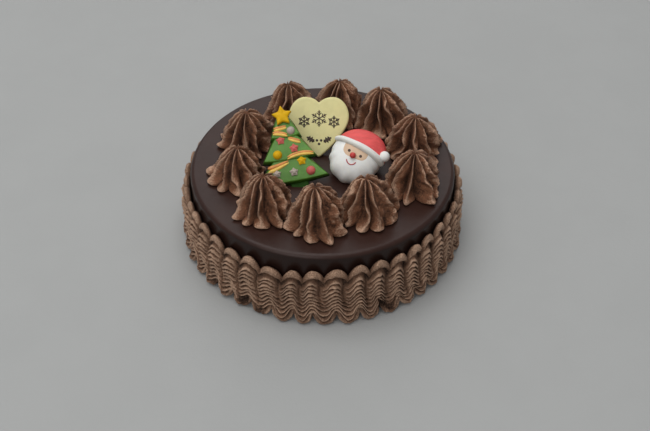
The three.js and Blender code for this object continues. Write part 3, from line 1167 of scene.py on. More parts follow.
    noise: LatticeNoise = LatticeNoise(23)

    def section(self, stretches: tuple[Line, ...]) -> Array:
        """A whole section, each stretch with its own number of evenly spaced points.

        Args:
            stretches: The stretches' controls, in order.

        Returns:
            Radius and height, one pair in each row.
        """
        parts = [even_path(list(part), count + 1)[:-1] for part, count in zip(stretches, self.rows)]
        return np.vstack(parts)

    def around(self) -> tuple[Array, Array]:
        """Angles round the cake and half the lobes' phase there, which grows by pi from crest to crest.

        The crests at the front have their own angles, and the others share the rest of the turn.

        Returns:
            The angles and phases, in radians.
        """
        first, last = self.crest_angles[0], self.crest_angles[-1]
        others = self.lobes - len(self.crest_angles)
        marks = np.concatenate([self.crest_angles, np.linspace(last, first + TURN_DEGREES, others + 2)[1:]])
        columns = self.lobes * self.columns_per_lobe
        turn = np.linspace(first, first + TURN_DEGREES, columns, endpoint=False)
        return np.radians(turn), np.interp(turn, marks, math.pi * np.arange(len(marks)))

    def crestness(self, phase: Array, share: Array, arched: tuple[Level, Level]) -> Array:
        """1 on a lobe's crest and 0 in a trough, at a share of the ribbon's height.

        At the foot it is round troughs with sharp crests, 1 less a power of the sine's size; on
        the ribbed face it is a wave with full crests and troughs, a hyperbolic tangent of the
        whole phase's cosine; at the top it is round arches with sharp troughs, a power of the
        cosine's size.

        Args:
            phase: Half the lobes' phase, in radians.
            share: Share of the ribbon's height.
            arched: Shares between which the wave turns into arches.

        Returns:
            The crestness at each place.
        """
        full = soft_abs(np.ones(1), self.corner)
        lobes = 1.0 - (soft_abs(np.sin(phase), self.corner / 2.0) / full) ** self.foot_power
        arches = (soft_abs(np.cos(phase), self.corner) / full) ** self.arch_power
        wave = 0.5 + 0.5 * np.tanh(self.fullness * np.cos(2.0 * phase)) / math.tanh(self.fullness)
        face = blend(lobes, wave, ease(share, *self.face_from))
        return np.clip(blend(face, arches, ease(share, *arched)), 0.0, 1.0)

    def laid(self) -> Ribbon:
        """The two sections mixed round the cake, each row's lobes swayed and its creases leaning.

        Returns:
            The plain ribbon.
        """
        turn, phase = self.around()
        phase = (phase + self.lobe_wander.at(self.noise, around_axis(self.reach, turn, 0.0)))[None, :]
        crest, trough = self.section(self.crest_section), self.section(self.trough_section)
        level = trough[:, 1:] / self.top
        phase = phase - math.pi * np.interp(level, np.linspace(0.0, 1.0, len(self.sway)), self.sway)
        degrees = np.degrees(turn)
        right = np.interp(degrees, *zip(*self.right_side)) * ease(level, *self.right_from)
        right = right * (1.0 - ease(level, *self.right_to))
        crestness = self.crestness(phase + math.pi * self.rib_lead * right, level, self.arches_from)
        leaning = phase + math.pi * np.interp(level, self.crease_at, self.crease)
        barrel = np.interp(degrees, *zip(*self.barrels))[None, :]
        low, high = (at - drop * barrel for at, drop in zip(self.skin_arches_from, self.skin_arches_drop))
        swell = self.crestness(leaning, level, (low, high))
        shallow = self.shallow * right
        radius = blend(trough[:, :1], crest[:, :1], shallow + (1.0 - shallow) * swell)
        height = blend(trough[:, 1:], crest[:, 1:], crestness)
        outer = ease(radius, self.inside + self.skin[0], self.inside + self.skin[1])
        return Ribbon(turn, level, leaning, barrel, crestness, swell, radius, height, outer)

    def ribbed(self, ribbon: Ribbon, place: Array) -> tuple[Array, Array]:
        """Round ribs with narrow grooves, 1 less the square of the distance from a rib's middle.

        Args:
            ribbon: The plain ribbon.
            place: Its points, with the axes last.

        Returns:
            The ribs' height from 0 to 1, and how far they show.
        """
        step = (ribbon.height - self.rib_start) / self.rib_pitch + self.rib_wander.at(self.noise, place)
        within = step - np.floor(step)
        rib = 1.0 - (2.0 * within - 1.0) ** 2
        last = self.ribs + self.rib_end.at(self.noise, place * np.array([1.0, 1.0, 0.0]))
        fading = 1.0 - self.rib_fade * ease(step - last, *self.rib_fade_steps)
        shown = ease(step, *self.rib_start_steps) * fading
        shown = shown * (1.0 - ease(ribbon.height, *self.rib_stop_heights))
        hidden = self.crease_hides * (1.0 - ease(ribbon.swell, *self.crease_swell))
        hidden = hidden * ease(ribbon.height + self.barrel_drop * ribbon.barrel, *self.crease_heights)
        return rib, shown * (1.0 - hidden)

    def torn(self, place: Array, turn: Array) -> Array:
        """Depth of the torn hollows: a bell round each dent's middle, broken up by noise.

        Args:
            place: Points of the plain ribbon, with the axes last.
            turn: Their angles round the cake.

        Returns:
            The depth at each point.
        """
        ragged = np.maximum(self.least_ragged, 1.0 + self.ragged.at(self.noise, place))
        depth = np.zeros(place.shape[:-1])
        for dent in self.dents:
            away = np.radians(dent.angle) - turn
            across = self.reach * np.arctan2(np.sin(away), np.cos(away))
            far = (across**2 + (place[..., 2] - dent.height) ** 2) / dent.width**2
            depth += dent.depth * np.exp(-far * ragged)
        return depth

    def crumbs(self, ribbon: Ribbon, place: Array) -> Array:
        """How far the rough cream stands out: wide and fine noise, and more on the bulge under the lip.

        Args:
            ribbon: The plain ribbon.
            place: Its points, with the axes last.

        Returns:
            The height at each point.
        """
        wide, fine = (ripple.at(self.noise, place) for ripple in self.crumb)
        bulge = ease(ribbon.level, *self.bulge_from) * (1.0 - ease(ribbon.level, *self.bulge_to))
        return wide + fine + self.bulge_crumb.at(self.noise, place * np.array(self.bulge_stretch)) * bulge

    def raised(self, ribbon: Ribbon) -> Array:
        """Heights after the wave, which lifts crests and lowers troughs, and after the lip's own rise.

        Args:
            ribbon: The plain ribbon.

        Returns:
            The height at each point, none below the floor.
        """
        rim = around_axis(self.reach, ribbon.turn, 0.0)
        share = np.clip(ribbon.height / self.top, 0.0, 1.0)
        lift = np.interp(share, self.wave_at, self.waves) * (1.0 + self.lift_uneven.at(self.noise, rim))
        lift = lift * (1.0 - self.calm * ribbon.barrel * (1.0 - ease(share, *self.calm_to)))
        known = [*self.crest_angles, *self.plain_back, self.crest_angles[0] + TURN_DEGREES]
        rise = np.interp(np.degrees(ribbon.turn), known, [*self.lip_rise, 0.0, 0.0, self.lip_rise[0]])
        roll = self.roll_uneven.at(self.noise, rim) + rise
        height = ribbon.height + (2.0 * ribbon.crestness - 1.0) * lift + roll * ease(share, *self.lip_from)
        return np.maximum(height, 0.0)

    def toned(self, ribbon: Ribbon, rib: Array, shown: Array, torn: Array) -> Array:
        """Crest values: painted highlight on crests and ribs, painted shade in the neck, joints, creases and
        rib grooves, painted bounce light on the barrels, and darker torn places.

        Args:
            ribbon: The plain ribbon.
            rib: The ribs' height.
            shown: How far the ribs show.
            torn: Depth of the torn hollows.

        Returns:
            One value for each point.
        """
        level, crestness, barrel = ribbon.level, ribbon.crestness, ribbon.barrel
        # Painted highlight: the lobes' crests get a lighter tone than the troughs.
        face, rope = (tone + more * crestness for tone, more in (self.face_tone, self.rope_tone))
        plain = blend(face, rope, ease(level, *self.rope_from))
        from_neck = (level * self.top - self.neck_height) / self.neck_width
        # Painted shade in the recess under the lip rope (the neck), in the lip's joints and in the creases
        # between lobes.
        neck = np.exp(-(from_neck**2)) * (1.0 - self.neck_crest * crestness)
        joint = (1.0 - ease(crestness, *self.joint_crest)) * ease(level, *self.joint_from)
        from_crease = np.cos(ribbon.leaning) / self.crease_width
        crease = np.exp(-(from_crease**2)) * (1.0 - ease(level, *self.crease_to))
        crease = crease * ease(level + self.crease_drop * barrel, *self.crease_from)
        crease = crease * (self.crease_painted_shade[0] + self.crease_painted_shade[1] * barrel)
        shade = (1.0 - self.torn_dark * np.clip(torn, 0.0, 1.0)) * (1.0 - self.neck_painted_shade * neck)
        shade = shade * (1.0 - self.joint_painted_shade * joint) * (1.0 - crease)
        # Painted highlight on rib tops and painted shade in the grooves between ribs; the ribbon's hidden
        # inside gets the darkest tone.
        mark = blend(plain, plain * self.rib_painted_light * rib**2, shown) * shade * ribbon.outer
        # Painted bounce light: the barrel-shaped sides are made lighter.
        return mark * (1.0 + self.barrel_painted_light * barrel)

    def surface(self) -> Surface:
        """The plain ribbon, ribbed, roughened and torn, then raised and lowered by the wave.

        Returns:
            The closed surface.
        """
        ribbon = self.laid()
        place = around_axis(ribbon.radius, ribbon.turn, ribbon.height)
        rib, shown = self.ribbed(ribbon, place)
        wide, fine = (ripple.at(self.noise, place) for ripple in self.rib_uneven)
        depth = self.rib_depth * (self.rib_share + (wide + fine)) * shown * ribbon.outer
        torn = self.torn(place, ribbon.turn) * ribbon.outer
        rough = self.crumbs(ribbon, place) * ribbon.outer
        radius = ribbon.radius + depth * (rib - self.rib_middle) + rough - torn
        rings = around_axis(radius, ribbon.turn, self.raised(ribbon))
        return Surface.endless(rings, self.toned(ribbon, rib, shown, torn))

    def build(self, maker: Maker) -> None:
        """Makes and dresses the frill."""
        maker.piece("piped_frill", self.surface(), FRILL_CREAM, "side_frill")


@dataclass(frozen=True)
class RosettePlace:
    """Where a rosette stands round the cake's middle, how tall it is and its share of the full radius."""

    angle: float
    reach: float
    height: float
    width: float = 1.0

    def centre(self) -> Array:
        """The middle of its foot on the cake's top."""
        return self.reach * heading(math.radians(self.angle))


@dataclass
class RosetteRing:
    """The ring of piped rosettes, each a pointed dome with sharp ridges that ends in a small crown."""

    radius: float = 18.0
    ridges: int = 10
    columns_per_ridge: int = 18
    rows: int = 84
    floor: float = 50.5
    gap: float = 0.15
    crown: float = 0.8
    rough_side: float = -8.0
    ridge_line: Line = (
        (0.8, 0.0), (0.98, 0.02), (1.07, 0.06), (1.04, 0.11), (0.95, 0.16), (0.9, 0.23), (0.83, 0.37),
        (0.72, 0.55), (0.57, 0.73), (0.42, 0.87), (0.29, 0.95), (0.16, 1.0),
    )
    groove_at: Values = (0.0, 0.08, 0.14, 0.24, 0.45, 0.7, 1.0)
    groove: Values = (0.3, 0.34, 0.4, 0.46, 0.52, 0.56, 0.56)
    fuller: float = 0.15
    fuller_side: Span = (-0.2, 0.8)
    # First seeds of the rosettes' noise and of their chances, and the most twist and lean
    noise_seed: int = 101
    chance_seed: int = 700
    most_twist: float = 0.2
    most_lean: float = 1.6
    # Shape of the toes and fins, and shares of the way up where fins, an even foot and notches start
    toe_corner: float = 0.06
    fin_corner: float = 0.08
    fin_power: float = 0.7
    fins_from: Span = (0.14, 0.36)
    foot_to: Span = (0.2, 0.5)
    notch: float = 0.05
    notch_from: Span = (0.75, 1.0)
    # The torn side: where it is, how far it fills the grooves, and its crest values
    torn_side: Span = (0.1, 0.8)
    torn_from: Span = (0.06, 0.3)
    torn_to: Span = (0.8, 0.95)
    torn_fill: float = 0.35
    torn_dark: float = 0.4
    torn_light: float = 0.3
    torn_plain: float = 0.6
    torn_spots: Ripple = Ripple(1.0, 2.5, layers=3)
    # Unevenness of the ridges, the foot, the height and the crown
    bend: tuple[Ripple, Ripple] = (Ripple(0.26, 10.0), Ripple(0.1, 5.0, 20.0))
    climb_uneven: Ripple = Ripple(0.04, 7.0, 50.0)
    groove_uneven: tuple[Ripple, Ripple] = (Ripple(0.2, 12.0), Ripple(0.3, 9.0, 11.0))
    foot_uneven: Ripple = Ripple(0.14, 8.0)
    size_uneven: Ripple = Ripple(0.03, 7.0)
    rise_uneven: Ripple = Ripple(0.6, 5.0, 90.0)
    rise_from: Span = (0.1, 0.3)
    crown_uneven: Ripple = Ripple(0.9, 8.0)
    crown_from: Span = (0.85, 1.0)
    # The cream's streaks and crumbs, and how much more of the crumbs is on the torn side
    streak: Ripple = Ripple(1.0, 1.8, layers=2)
    streak_stretch: Point3 = (1.0, 1.0, 0.15)
    streak_from: Span = (0.12, 0.3)
    streak_depth: float = 0.4
    streak_light: float = 0.12
    crumb: Ripple = Ripple(1.0, 2.8, 40.0, 3)
    crumb_depth: Span = (0.28, 0.6)
    crumb_from: Span = (0.1, 0.4)
    # Crest values of the fins and of the toes: painted highlight on fin edges and toes, painted shade in the
    # grooves between fins
    fin_highlight_paint: float = 0.9
    fin_highlight_paint_power: float = 1.4
    toe_highlight_paint: float = 0.88
    toe_highlight_spots: Ripple = Ripple(0.3, 6.0, 70.0)
    toe_highlight_paint_to: Span = (0.14, 0.26)
    places: tuple[RosettePlace, ...] = (
        RosettePlace(115.0, 50.5, 27.0),
        RosettePlace(80.0, 51.0, 26.5),
        RosettePlace(48.0, 56.0, 27.0),
        RosettePlace(15.0, 58.0, 26.0),
        RosettePlace(-22.0, 57.5, 27.0),
        RosettePlace(-60.0, 53.0, 28.0),
        RosettePlace(-94.0, 55.0, 29.0),
        RosettePlace(-128.0, 56.0, 28.0),
        RosettePlace(-165.5, 54.5, 22.5, 0.9),
        RosettePlace(158.0, 51.5, 25.5),
    )

    def pressed(self, points: Array, towards: Array) -> Array:
        """Points pushed back to the plane halfway to a neighbour.

        Args:
            points: Places round the rosette's own middle, with the axes last.
            towards: From this rosette's middle to its neighbour's.

        Returns:
            The places, none past the plane.
        """
        limit = np.linalg.norm(towards) / 2.0 - self.gap
        across = towards / np.linalg.norm(towards)
        past = np.maximum(0.0, points[..., :2] @ across - limit)
        pushed = points.copy()
        pushed[..., :2] -= past[..., None] * across
        return pushed

    def surface(self, index: int) -> Surface:
        """One rosette.

        At a share of its height its radius is the ridge line's radius less a groove. At the foot
        the groove is 1 less the root of a cosine's size, which gives a round toe at the end of each
        ridge, and further up it is a power of the sine's size, which gives fins. The ridges twist,
        lean and differ by noise, and one side is fuller and torn.

        Args:
            index: Which place in the ring.

        Returns:
            The closed surface.
        """
        place = self.places[index]
        noise = LatticeNoise(self.noise_seed + index)
        chance = np.random.default_rng(self.chance_seed + index)
        most = np.array([self.most_twist, self.most_lean, self.most_lean])
        twist, lean_x, lean_y = chance.uniform(-1.0, 1.0, 3) * most
        line = even_path(list(self.ridge_line), self.rows)
        share, rise = line[:, :1], line[:, 1:]
        along = np.linspace(0.0, 1.0, self.rows)[:, None]
        angle = turn_steps(self.ridges * self.columns_per_ridge)[None, :]
        circle = around_axis(self.radius, angle, 0.0)
        tall = around_axis(self.radius, angle, rise * place.height)

        wide, fine = (ripple.at(noise, tall) for ripple in self.bend)
        phase = self.ridges / 2.0 * (angle - (wide + fine + twist * along))
        toes = 1.0 - np.sqrt(soft_abs(np.cos(phase), self.toe_corner))
        fins = soft_abs(np.sin(phase), self.fin_corner) / soft_abs(np.ones(1), self.fin_corner)
        climb = along + self.climb_uneven.at(noise, circle)
        cut = blend(toes, fins**self.fin_power, ease(climb, *self.fins_from))

        turned = angle + math.radians(place.angle)
        east = np.cos(turned - math.radians(self.rough_side))
        torn = ease(east, *self.torn_side) * ease(along, *self.torn_from) * (1.0 - ease(along, *self.torn_to))
        high, low = self.groove_uneven
        depth = np.interp(along, self.groove_at, self.groove) * (1.0 - self.torn_fill * torn)
        depth = depth * (1.0 + high.at(noise, tall) + low.at(noise, circle))
        size = 1.0 + self.foot_uneven.at(noise, circle) * (1.0 - ease(along, *self.foot_to))
        size = size + self.size_uneven.at(noise, tall)
        full = share + 4.0 * self.fuller * ease(east, *self.fuller_side) * rise * (1.0 - rise)
        radius = self.radius * place.width * full * size * (1.0 - depth * cut)

        near = around_axis(radius, turned, rise * place.height)
        streaks = self.streak.at(noise, tall * np.array(self.streak_stretch)) * ease(along, *self.streak_from)
        crumbs = self.crumb.at(noise, near) * (self.crumb_depth[0] + self.crumb_depth[1] * torn)
        radius = radius + (crumbs + self.streak_depth * streaks) * ease(share, *self.crumb_from)
        height = place.height * (rise - self.notch * cut * ease(along, *self.notch_from))
        height = height + self.rise_uneven.at(noise, tall) * ease(along, *self.rise_from)
        height = height + self.crown_uneven.at(noise, circle) * ease(along, *self.crown_from) * (1.0 - cut)
        points = around_axis(radius, turned, np.maximum(height, 0.0))
        points[..., 0] += lean_x * rise**2
        points[..., 1] += lean_y * rise**2
        count = len(self.places)
        for step in (1, count - 1):
            points = self.pressed(points, self.places[(index + step) % count].centre() - place.centre())

        # Painted highlight on the fins' edges, fading to painted shade deep in the grooves.
        painted_fin_light = self.fin_highlight_paint * (1.0 - cut) ** self.fin_highlight_paint_power * (1.0 - self.torn_dark * torn)
        torn_mark = self.torn_light * torn * (self.torn_spots.at(noise, tall) + self.torn_plain)
        mark = np.clip(painted_fin_light + torn_mark + self.streak_light * streaks, 0.0, 1.0)
        # Painted highlight on the rounded toes at the foot.
        painted_toe_light = (1.0 - toes) * (1.0 - ease(climb, *self.toe_highlight_paint_to))
        painted_toe_light = painted_toe_light * (self.toe_highlight_paint + self.toe_highlight_spots.at(noise, circle))
        offset = np.append(place.centre(), self.floor)
        tip = np.array([lean_x, lean_y, place.height - self.crown])
        return Surface.capped(points + offset, offset, tip + offset, np.maximum(mark, painted_toe_light))

    def build(self, maker: Maker) -> None:
        """Makes and dresses each rosette.

        Args:
            maker: Writes the pieces.
        """
        for index in range(len(self.places)):
            number = f"{index + 1:02d}"
            surface = self.surface(index)
            maker.piece(f"piped_rosette_{number}", surface, ROSETTE_CREAM, f"rosette_{number}")


@dataclass
class HeartPlaque:
    """The ivory heart with a printed sprig of holly and snowflakes."""

    stand: Stand = Stand((-2.5, 9.3, 50.5), 48.0)
    right_side: tuple[Line, ...] = (
        ((0.0, -2.0), (2.5, -0.8), (18.8, 13.6), (18.8, 23.4)),
        ((18.8, 23.4), (18.8, 30.4), (14.0, 35.8), (8.8, 35.8)),
        ((8.8, 35.8), (4.8, 35.8), (1.4, 34.2), (0.0, 32.0)),
    )
    curve_points: int = 41
    outline_steps: Steps = (300, 6)
    centre: Point2 = (0.0, 18.0)
    thick: float = 3.6
    edge: float = 1.3
    # The ink's height, each ring's share of a patch's width and of that height, and its crest value
    ink: float = 0.1
    ink_rings: Line = ((1.0, -1.0), (1.0, 0.5), (0.7, 1.0), (0.35, 1.0))
    ink_mark: float = 0.6
    leaf_tips: tuple[tuple[Point2, Point2], ...] = (((-2.6, 7.8), (-7.6, 10.7)), ((2.9, 7.6), (7.9, 10.5)))
    leaf_width: float = 2.1
    leaf_power: float = 0.7
    leaf_points: int = 33
    scallop: float = 0.28
    scallops: float = 3.5
    berries: Line = ((-1.15, 8.6), (1.5, 8.6), (0.2, 6.4))
    berry_radius: float = 0.8
    berry_points: int = 16
    flakes: tuple[Point3, ...] = ((-9.2, 20.4, 3.7), (0.1, 22.3, 5.0), (9.4, 20.2, 3.7))
    flake_line: float = 0.3
    flake_arms: int = 6
    line_end_points: int = 7
    twig_shares: Point2 = (0.45, 0.72)
    twig_lean: float = TURN / 7.0
    twig_length: float = 0.62

    def outline(self) -> Array:
        """The heart's outline, up its right side and down its left.

        Returns:
            The closed outline, one point in each row.
        """
        right = np.vstack([bezier(list(part), self.curve_points)[:-1] for part in self.right_side])
        left = np.vstack([[self.right_side[-1][-1]], right[:0:-1]]) * np.array([-1.0, 1.0])
        return even_outline(np.vstack([right, left]), *self.outline_steps)

    def plaque(self) -> Surface:
        """The moulded heart in its own plane."""
        return Cushion(self.outline(), self.centre, 0.0, self.thick, self.edge, 0.0).surface()

    def lens(self, outline: Array, middle: Array) -> Surface:
        """A thin patch of ink: an outline on the face, with its middle raised a little.

        Args:
            outline: The patch's edge, one point in each row.
            middle: Its middle.

        Returns:
            The closed surface.
        """
        share, rise = (np.array(values)[:, None, None] for values in zip(*self.ink_rings))
        flat = middle + (outline - middle)[None] * share
        tall = np.broadcast_to(self.ink * rise + self.thick, (*flat.shape[:2], 1))
        rings = np.concatenate([flat, tall], axis=2)
        ends = [np.append(middle, self.thick - self.ink), np.append(middle, self.thick + self.ink)]
        return Surface.capped(rings, *ends, np.full(rings.shape[:2], self.ink_mark))

    def leaf(self, root: Point2, tip: Point2) -> Surface:
        """A holly leaf: a spindle between two points whose edge is scalloped by a sine.

        Args:
            root: Its end by the berries.
            tip: Its outer end.

        Returns:
            The closed surface.
        """
        start, end = np.array(root), np.array(tip)
        along = np.linspace(0.0, 1.0, self.leaf_points)
        scalloped = 1.0 - self.scallop + self.scallop * np.cos(self.scallops * TURN * along - math.pi)
        width = self.leaf_width * np.sin(math.pi * along) ** self.leaf_power * scalloped
        across = np.array([-(end - start)[1], (end - start)[0]]) / np.linalg.norm(end - start)
        spine = start + along[:, None] * (end - start)
        upper, lower = spine + width[:, None] * across, spine - width[:, None] * across
        return self.lens(np.vstack([lower, upper[-2:0:-1]]), (start + end) / 2.0)

    def stroke(self, start: Array, end: Array) -> Surface:
        """A straight line of ink with a half circle at each end.

        Args:
            start: Where it starts.
            end: Where it ends.

        Returns:
            The closed surface.
        """
        along = (end - start) / np.linalg.norm(end - start)
        across = np.array([-along[1], along[0]])
        turn = np.linspace(-math.pi / 2.0, math.pi / 2.0, self.line_end_points)[:, None]
        cap = self.flake_line * (np.cos(turn) * along + np.sin(turn) * across)
        return self.lens(np.vstack([end + cap, start - cap]), (start + end) / 2.0)

    def snowflake(self, x: float, y: float, radius: float) -> Surface:
        """Arms an even part of a turn from each other, each with two pairs of twigs.

        Args:
            x: Its middle across the heart.
            y: Its middle up the heart.
            radius: Length of an arm.

        Returns:
            The closed surface.
        """
        middle = np.array([x, y])
        strokes = []
        for arm in range(self.flake_arms):
            turn = arm * TURN / self.flake_arms + TURN / (2 * self.flake_arms)
            out = heading(turn)
            strokes.append(self.stroke(middle, middle + radius * out))
            for share, side in itertools.product(self.twig_shares, (-1.0, 1.0)):
                twig = heading(turn + side * self.twig_lean)
                fork = middle + share * radius * out
                strokes.append(self.stroke(fork, fork + self.twig_length * (1.0 - share) * radius * twig))
        return Surface.joined(strokes)

    def printed(self) -> Surface:
        """All the ink on the face in the heart's own plane.

        Returns:
            The leaves, berries and snowflakes as one surface.
        """
        angle = turn_steps(self.berry_points)
        circle = self.berry_radius * np.stack([np.cos(angle), np.sin(angle)], axis=1)
        leaves = [self.leaf(*ends) for ends in self.leaf_tips]
        berries = [self.lens(np.array(at) + circle, np.array(at)) for at in self.berries]
        return Surface.joined([*leaves, *berries, *(self.snowflake(*flake) for flake in self.flakes)])

    def build(self, maker: Maker) -> None:
        """Makes and dresses the heart and its print.

        Args:
            maker: Writes the pieces.
        """
        heart, ink = self.plaque().placed(self.stand), self.printed().placed(self.stand)
        maker.piece("ivory_heart", heart, IVORY_CHOCOLATE, "heart_plaque")
        maker.piece("heart_print", ink, BROWN_PRINT, "heart_plaque")


@dataclass(frozen=True)
class Tier:
    """One layer of the tree: where its lower edge and tip are, its half width and its face's height."""

    base: float
    half_width: float
    apex: float
    thick: float


@dataclass(frozen=True)
class Trim:
    """A moulded ball or star on the tree: its place, radius and tier."""

    at: Point2
    radius: float
    tier: int


@dataclass(frozen=True)
class Garland:
    """A two-toned rope across a tier: the ends and bend of its path, and how far it spreads at its start."""

    ends: tuple[Point2, Point2, Point2]
    tier: int
    spread: float = 0.0


@dataclass
class SugarTree:
    """The moulded tree with its trimmings."""

    stand: Stand = Stand((-16.1, -23.3, 48.0), 36.0, 11.0)
    tiers: tuple[Tier, ...] = (
        Tier(6.6, 21.3, 30.8, 4.0), Tier(20.1, 15.9, 42.6, 5.2), Tier(33.8, 8.8, 51.0, 6.4),
    )
    apex_half_width: float = 0.8
    sag: float = 2.0
    edge: float = 0.9
    flare: float = 1.6
    tier_dome: float = 0.35
    tier_middle: float = 0.36
    lower_points: int = 40
    tier_steps: Steps = (260, 8)
    trunk_size: Point3 = (11.0, 12.0, 1.2)
    trunk_centre: Point2 = (3.3, 4.2)
    trunk_steps: Steps = (160, 10)
    star_height: float = 46.1
    star_radius: float = 6.8
    star_inner: float = 3.6
    star_thick: float = 3.0
    star_edge: float = 1.5
    star_dome: float = 0.3
    star_gap: float = 0.3
    star_steps: Steps = (200, 16)
    balls: dict[str, tuple[Trim, ...]] = field(default_factory=lambda: {
        "grey": (Trim((3.6, 36.6), 2.6, 2),),
        "yellow": (Trim((-6.9, 23.1), 2.9, 1),),
        "red": (Trim((11.3, 10.4), 2.9, 0),),
    })
    stars: dict[str, tuple[Trim, ...]] = field(default_factory=lambda: {
        "grey": (Trim((1.1, 11.1), 3.0, 0), Trim((-9.2, 11.6), 2.8, 0)),
        "yellow": (Trim((6.9, 17.3), 3.2, 0),),
        "red": (Trim((-3.5, 31.6), 3.0, 1), Trim((3.7, 25.5), 3.1, 1)),
    })
    trim_inner: float = 0.66
    trim_thick: float = 2.1
    trim_edge: float = 0.6
    trim_dome: float = 0.9
    trim_sunk: float = 1.0
    trim_steps: Steps = (120, 7)
    ball_sunk: float = 0.4
    garlands: tuple[Garland, ...] = (
        Garland(((-6.6, 38.8), (-2.8, 38.9), (1.6, 39.3)), 2),
        Garland(((-7.6, 36.4), (-3.3, 36.4), (1.2, 33.9)), 2),
        Garland(((1.0, 32.6), (5.0, 30.3), (8.4, 29.0)), 1),
        Garland(((-1.5, 20.0), (6.4, 23.2), (15.0, 20.6)), 1),
        Garland(((-14.3, 14.7), (-9.0, 15.2), (-0.6, 18.2)), 0, 0.7),
    )
    rope_radius: float = 0.85
    rope_apart: float = 0.6
    rope_lift: float = 0.1
    rope_end: float = 0.35
    rope_points: int = 48
    rope_sides: int = 14

    def tier_surface(self, tier: Tier) -> Surface:
        """A tier: a lower edge that sags, two straight sides and a blunt tip, made a cushion.

        Args:
            tier: Its sizes.

        Returns:
            The closed surface in the tree's own plane.
        """
        corner, middle = (tier.half_width, tier.base), (0.0, tier.base - self.sag)
        lower = bezier([(-tier.half_width, tier.base), middle, corner], self.lower_points)
        tip = np.array([[self.apex_half_width, tier.apex], [-self.apex_half_width, tier.apex]])
        outline = even_outline(np.vstack([lower, tip]), *self.tier_steps)
        centre = (0.0, tier.base + (tier.apex - tier.base) * self.tier_middle)
        return Cushion(outline, centre, 0.0, tier.thick, self.edge, self.tier_dome, self.flare).surface()

    def trunk(self) -> Surface:
        """The trunk: a rounded block in the tree's own plane.

        Returns:
            The closed surface.
        """
        width, length, thick = self.trunk_size
        corners = np.array([[-1.0, -1.0], [1.0, -1.0], [1.0, 1.0], [-1.0, 1.0]])
        corners = corners * np.array([width, length]) / 2.0 + np.array(self.trunk_centre)
        outline = even_outline(corners, *self.trunk_steps)
        return Cushion(outline, self.trunk_centre, 0.0, thick, self.edge, 0.0).surface()

    def ball(self, trim: Trim) -> Surface:
        """A ball sunk a little into its tier."""
        height = self.tiers[trim.tier].thick - self.ball_sunk
        return globe((*trim.at, height), (trim.radius, trim.radius, trim.radius))

    def trim_star(self, trim: Trim) -> Surface:
        """A small star standing on its tier.

        Args:
            trim: Its place, radius and tier.

        Returns:
            The closed surface in the tree's own plane.
        """
        inner = trim.radius * self.trim_inner
        outline = star_outline(trim.radius, inner, *self.trim_steps) + np.array(trim.at)
        back = self.tiers[trim.tier].thick - self.trim_sunk
        return Cushion(outline, trim.at, back, self.trim_thick, self.trim_edge, self.trim_dome).surface()

    def top_star(self) -> Surface:
        """The star before the tree's tip, a little clear of the highest tier.

        Returns:
            The closed surface in the tree's own plane.
        """
        centre = (0.0, self.star_height)
        outline = star_outline(self.star_radius, self.star_inner, *self.star_steps)
        back = self.tiers[-1].thick + self.star_gap
        wall = self.star_thick - self.star_dome
        outline = outline + np.array(centre)
        return Cushion(outline, centre, back, wall, self.star_edge, self.star_dome).surface()

    def rope(self, garland: Garland, side: float) -> Surface:
        """One strand of a garland: a round cord along its bent path, beside the path's middle.

        Args:
            garland: Its path.
            side: 1 for the upper strand and -1 for the lower.

        Returns:
            The closed surface in the tree's own plane.
        """
        wider = garland.spread * np.linspace(1.0, 0.0, self.rope_points)
        flat = bezier(list(garland.ends), self.rope_points)
        flat[:, 1] += side * (self.rope_apart + wider)
        height = np.full((len(flat), 1), self.tiers[garland.tier].thick + self.rope_lift)
        radius = self.rope_radius * round_ends(len(flat), self.rope_end) * (1.0 + wider)
        return tube(np.hstack([flat, height]), radius, self.rope_sides, UP)

    def build(self, maker: Maker) -> None:
        """Makes and dresses the tree, its trimmings and its top star.

        Args:
            maker: Writes the pieces.
        """
        body = Surface.joined([self.tier_surface(tier) for tier in self.tiers])
        maker.piece("tree_tiers", body.placed(self.stand), GREEN_SUGAR, "tree_body")
        # The trunk's dark finish is a painted shadow from the tier above.
        maker.piece("tree_trunk", self.trunk().placed(self.stand), SHADOWED_TRUNK_SUGAR, "tree_body")
        for name, finish in (("grey", GREY_SUGAR), ("yellow", YELLOW_SUGAR), ("red", RED_SUGAR)):
            parts = [*map(self.ball, self.balls[name]), *map(self.trim_star, self.stars[name])]
            trims = Surface.joined(parts).placed(self.stand)
            maker.piece(f"tree_trims_{name}", trims, finish, "tree_body")
        for name, side, finish in (("upper", 1.0, ORANGE_SUGAR), ("lower", -1.0, AMBER_SUGAR)):
            ropes = Surface.joined([self.rope(garland, side) for garland in self.garlands]).placed(self.stand)
            maker.piece(f"tree_garland_{name}", ropes, finish, "tree_body")
        star = self.top_star().placed(self.stand)
        maker.piece("tree_top_star", star, YELLOW_SUGAR, "tree_star")


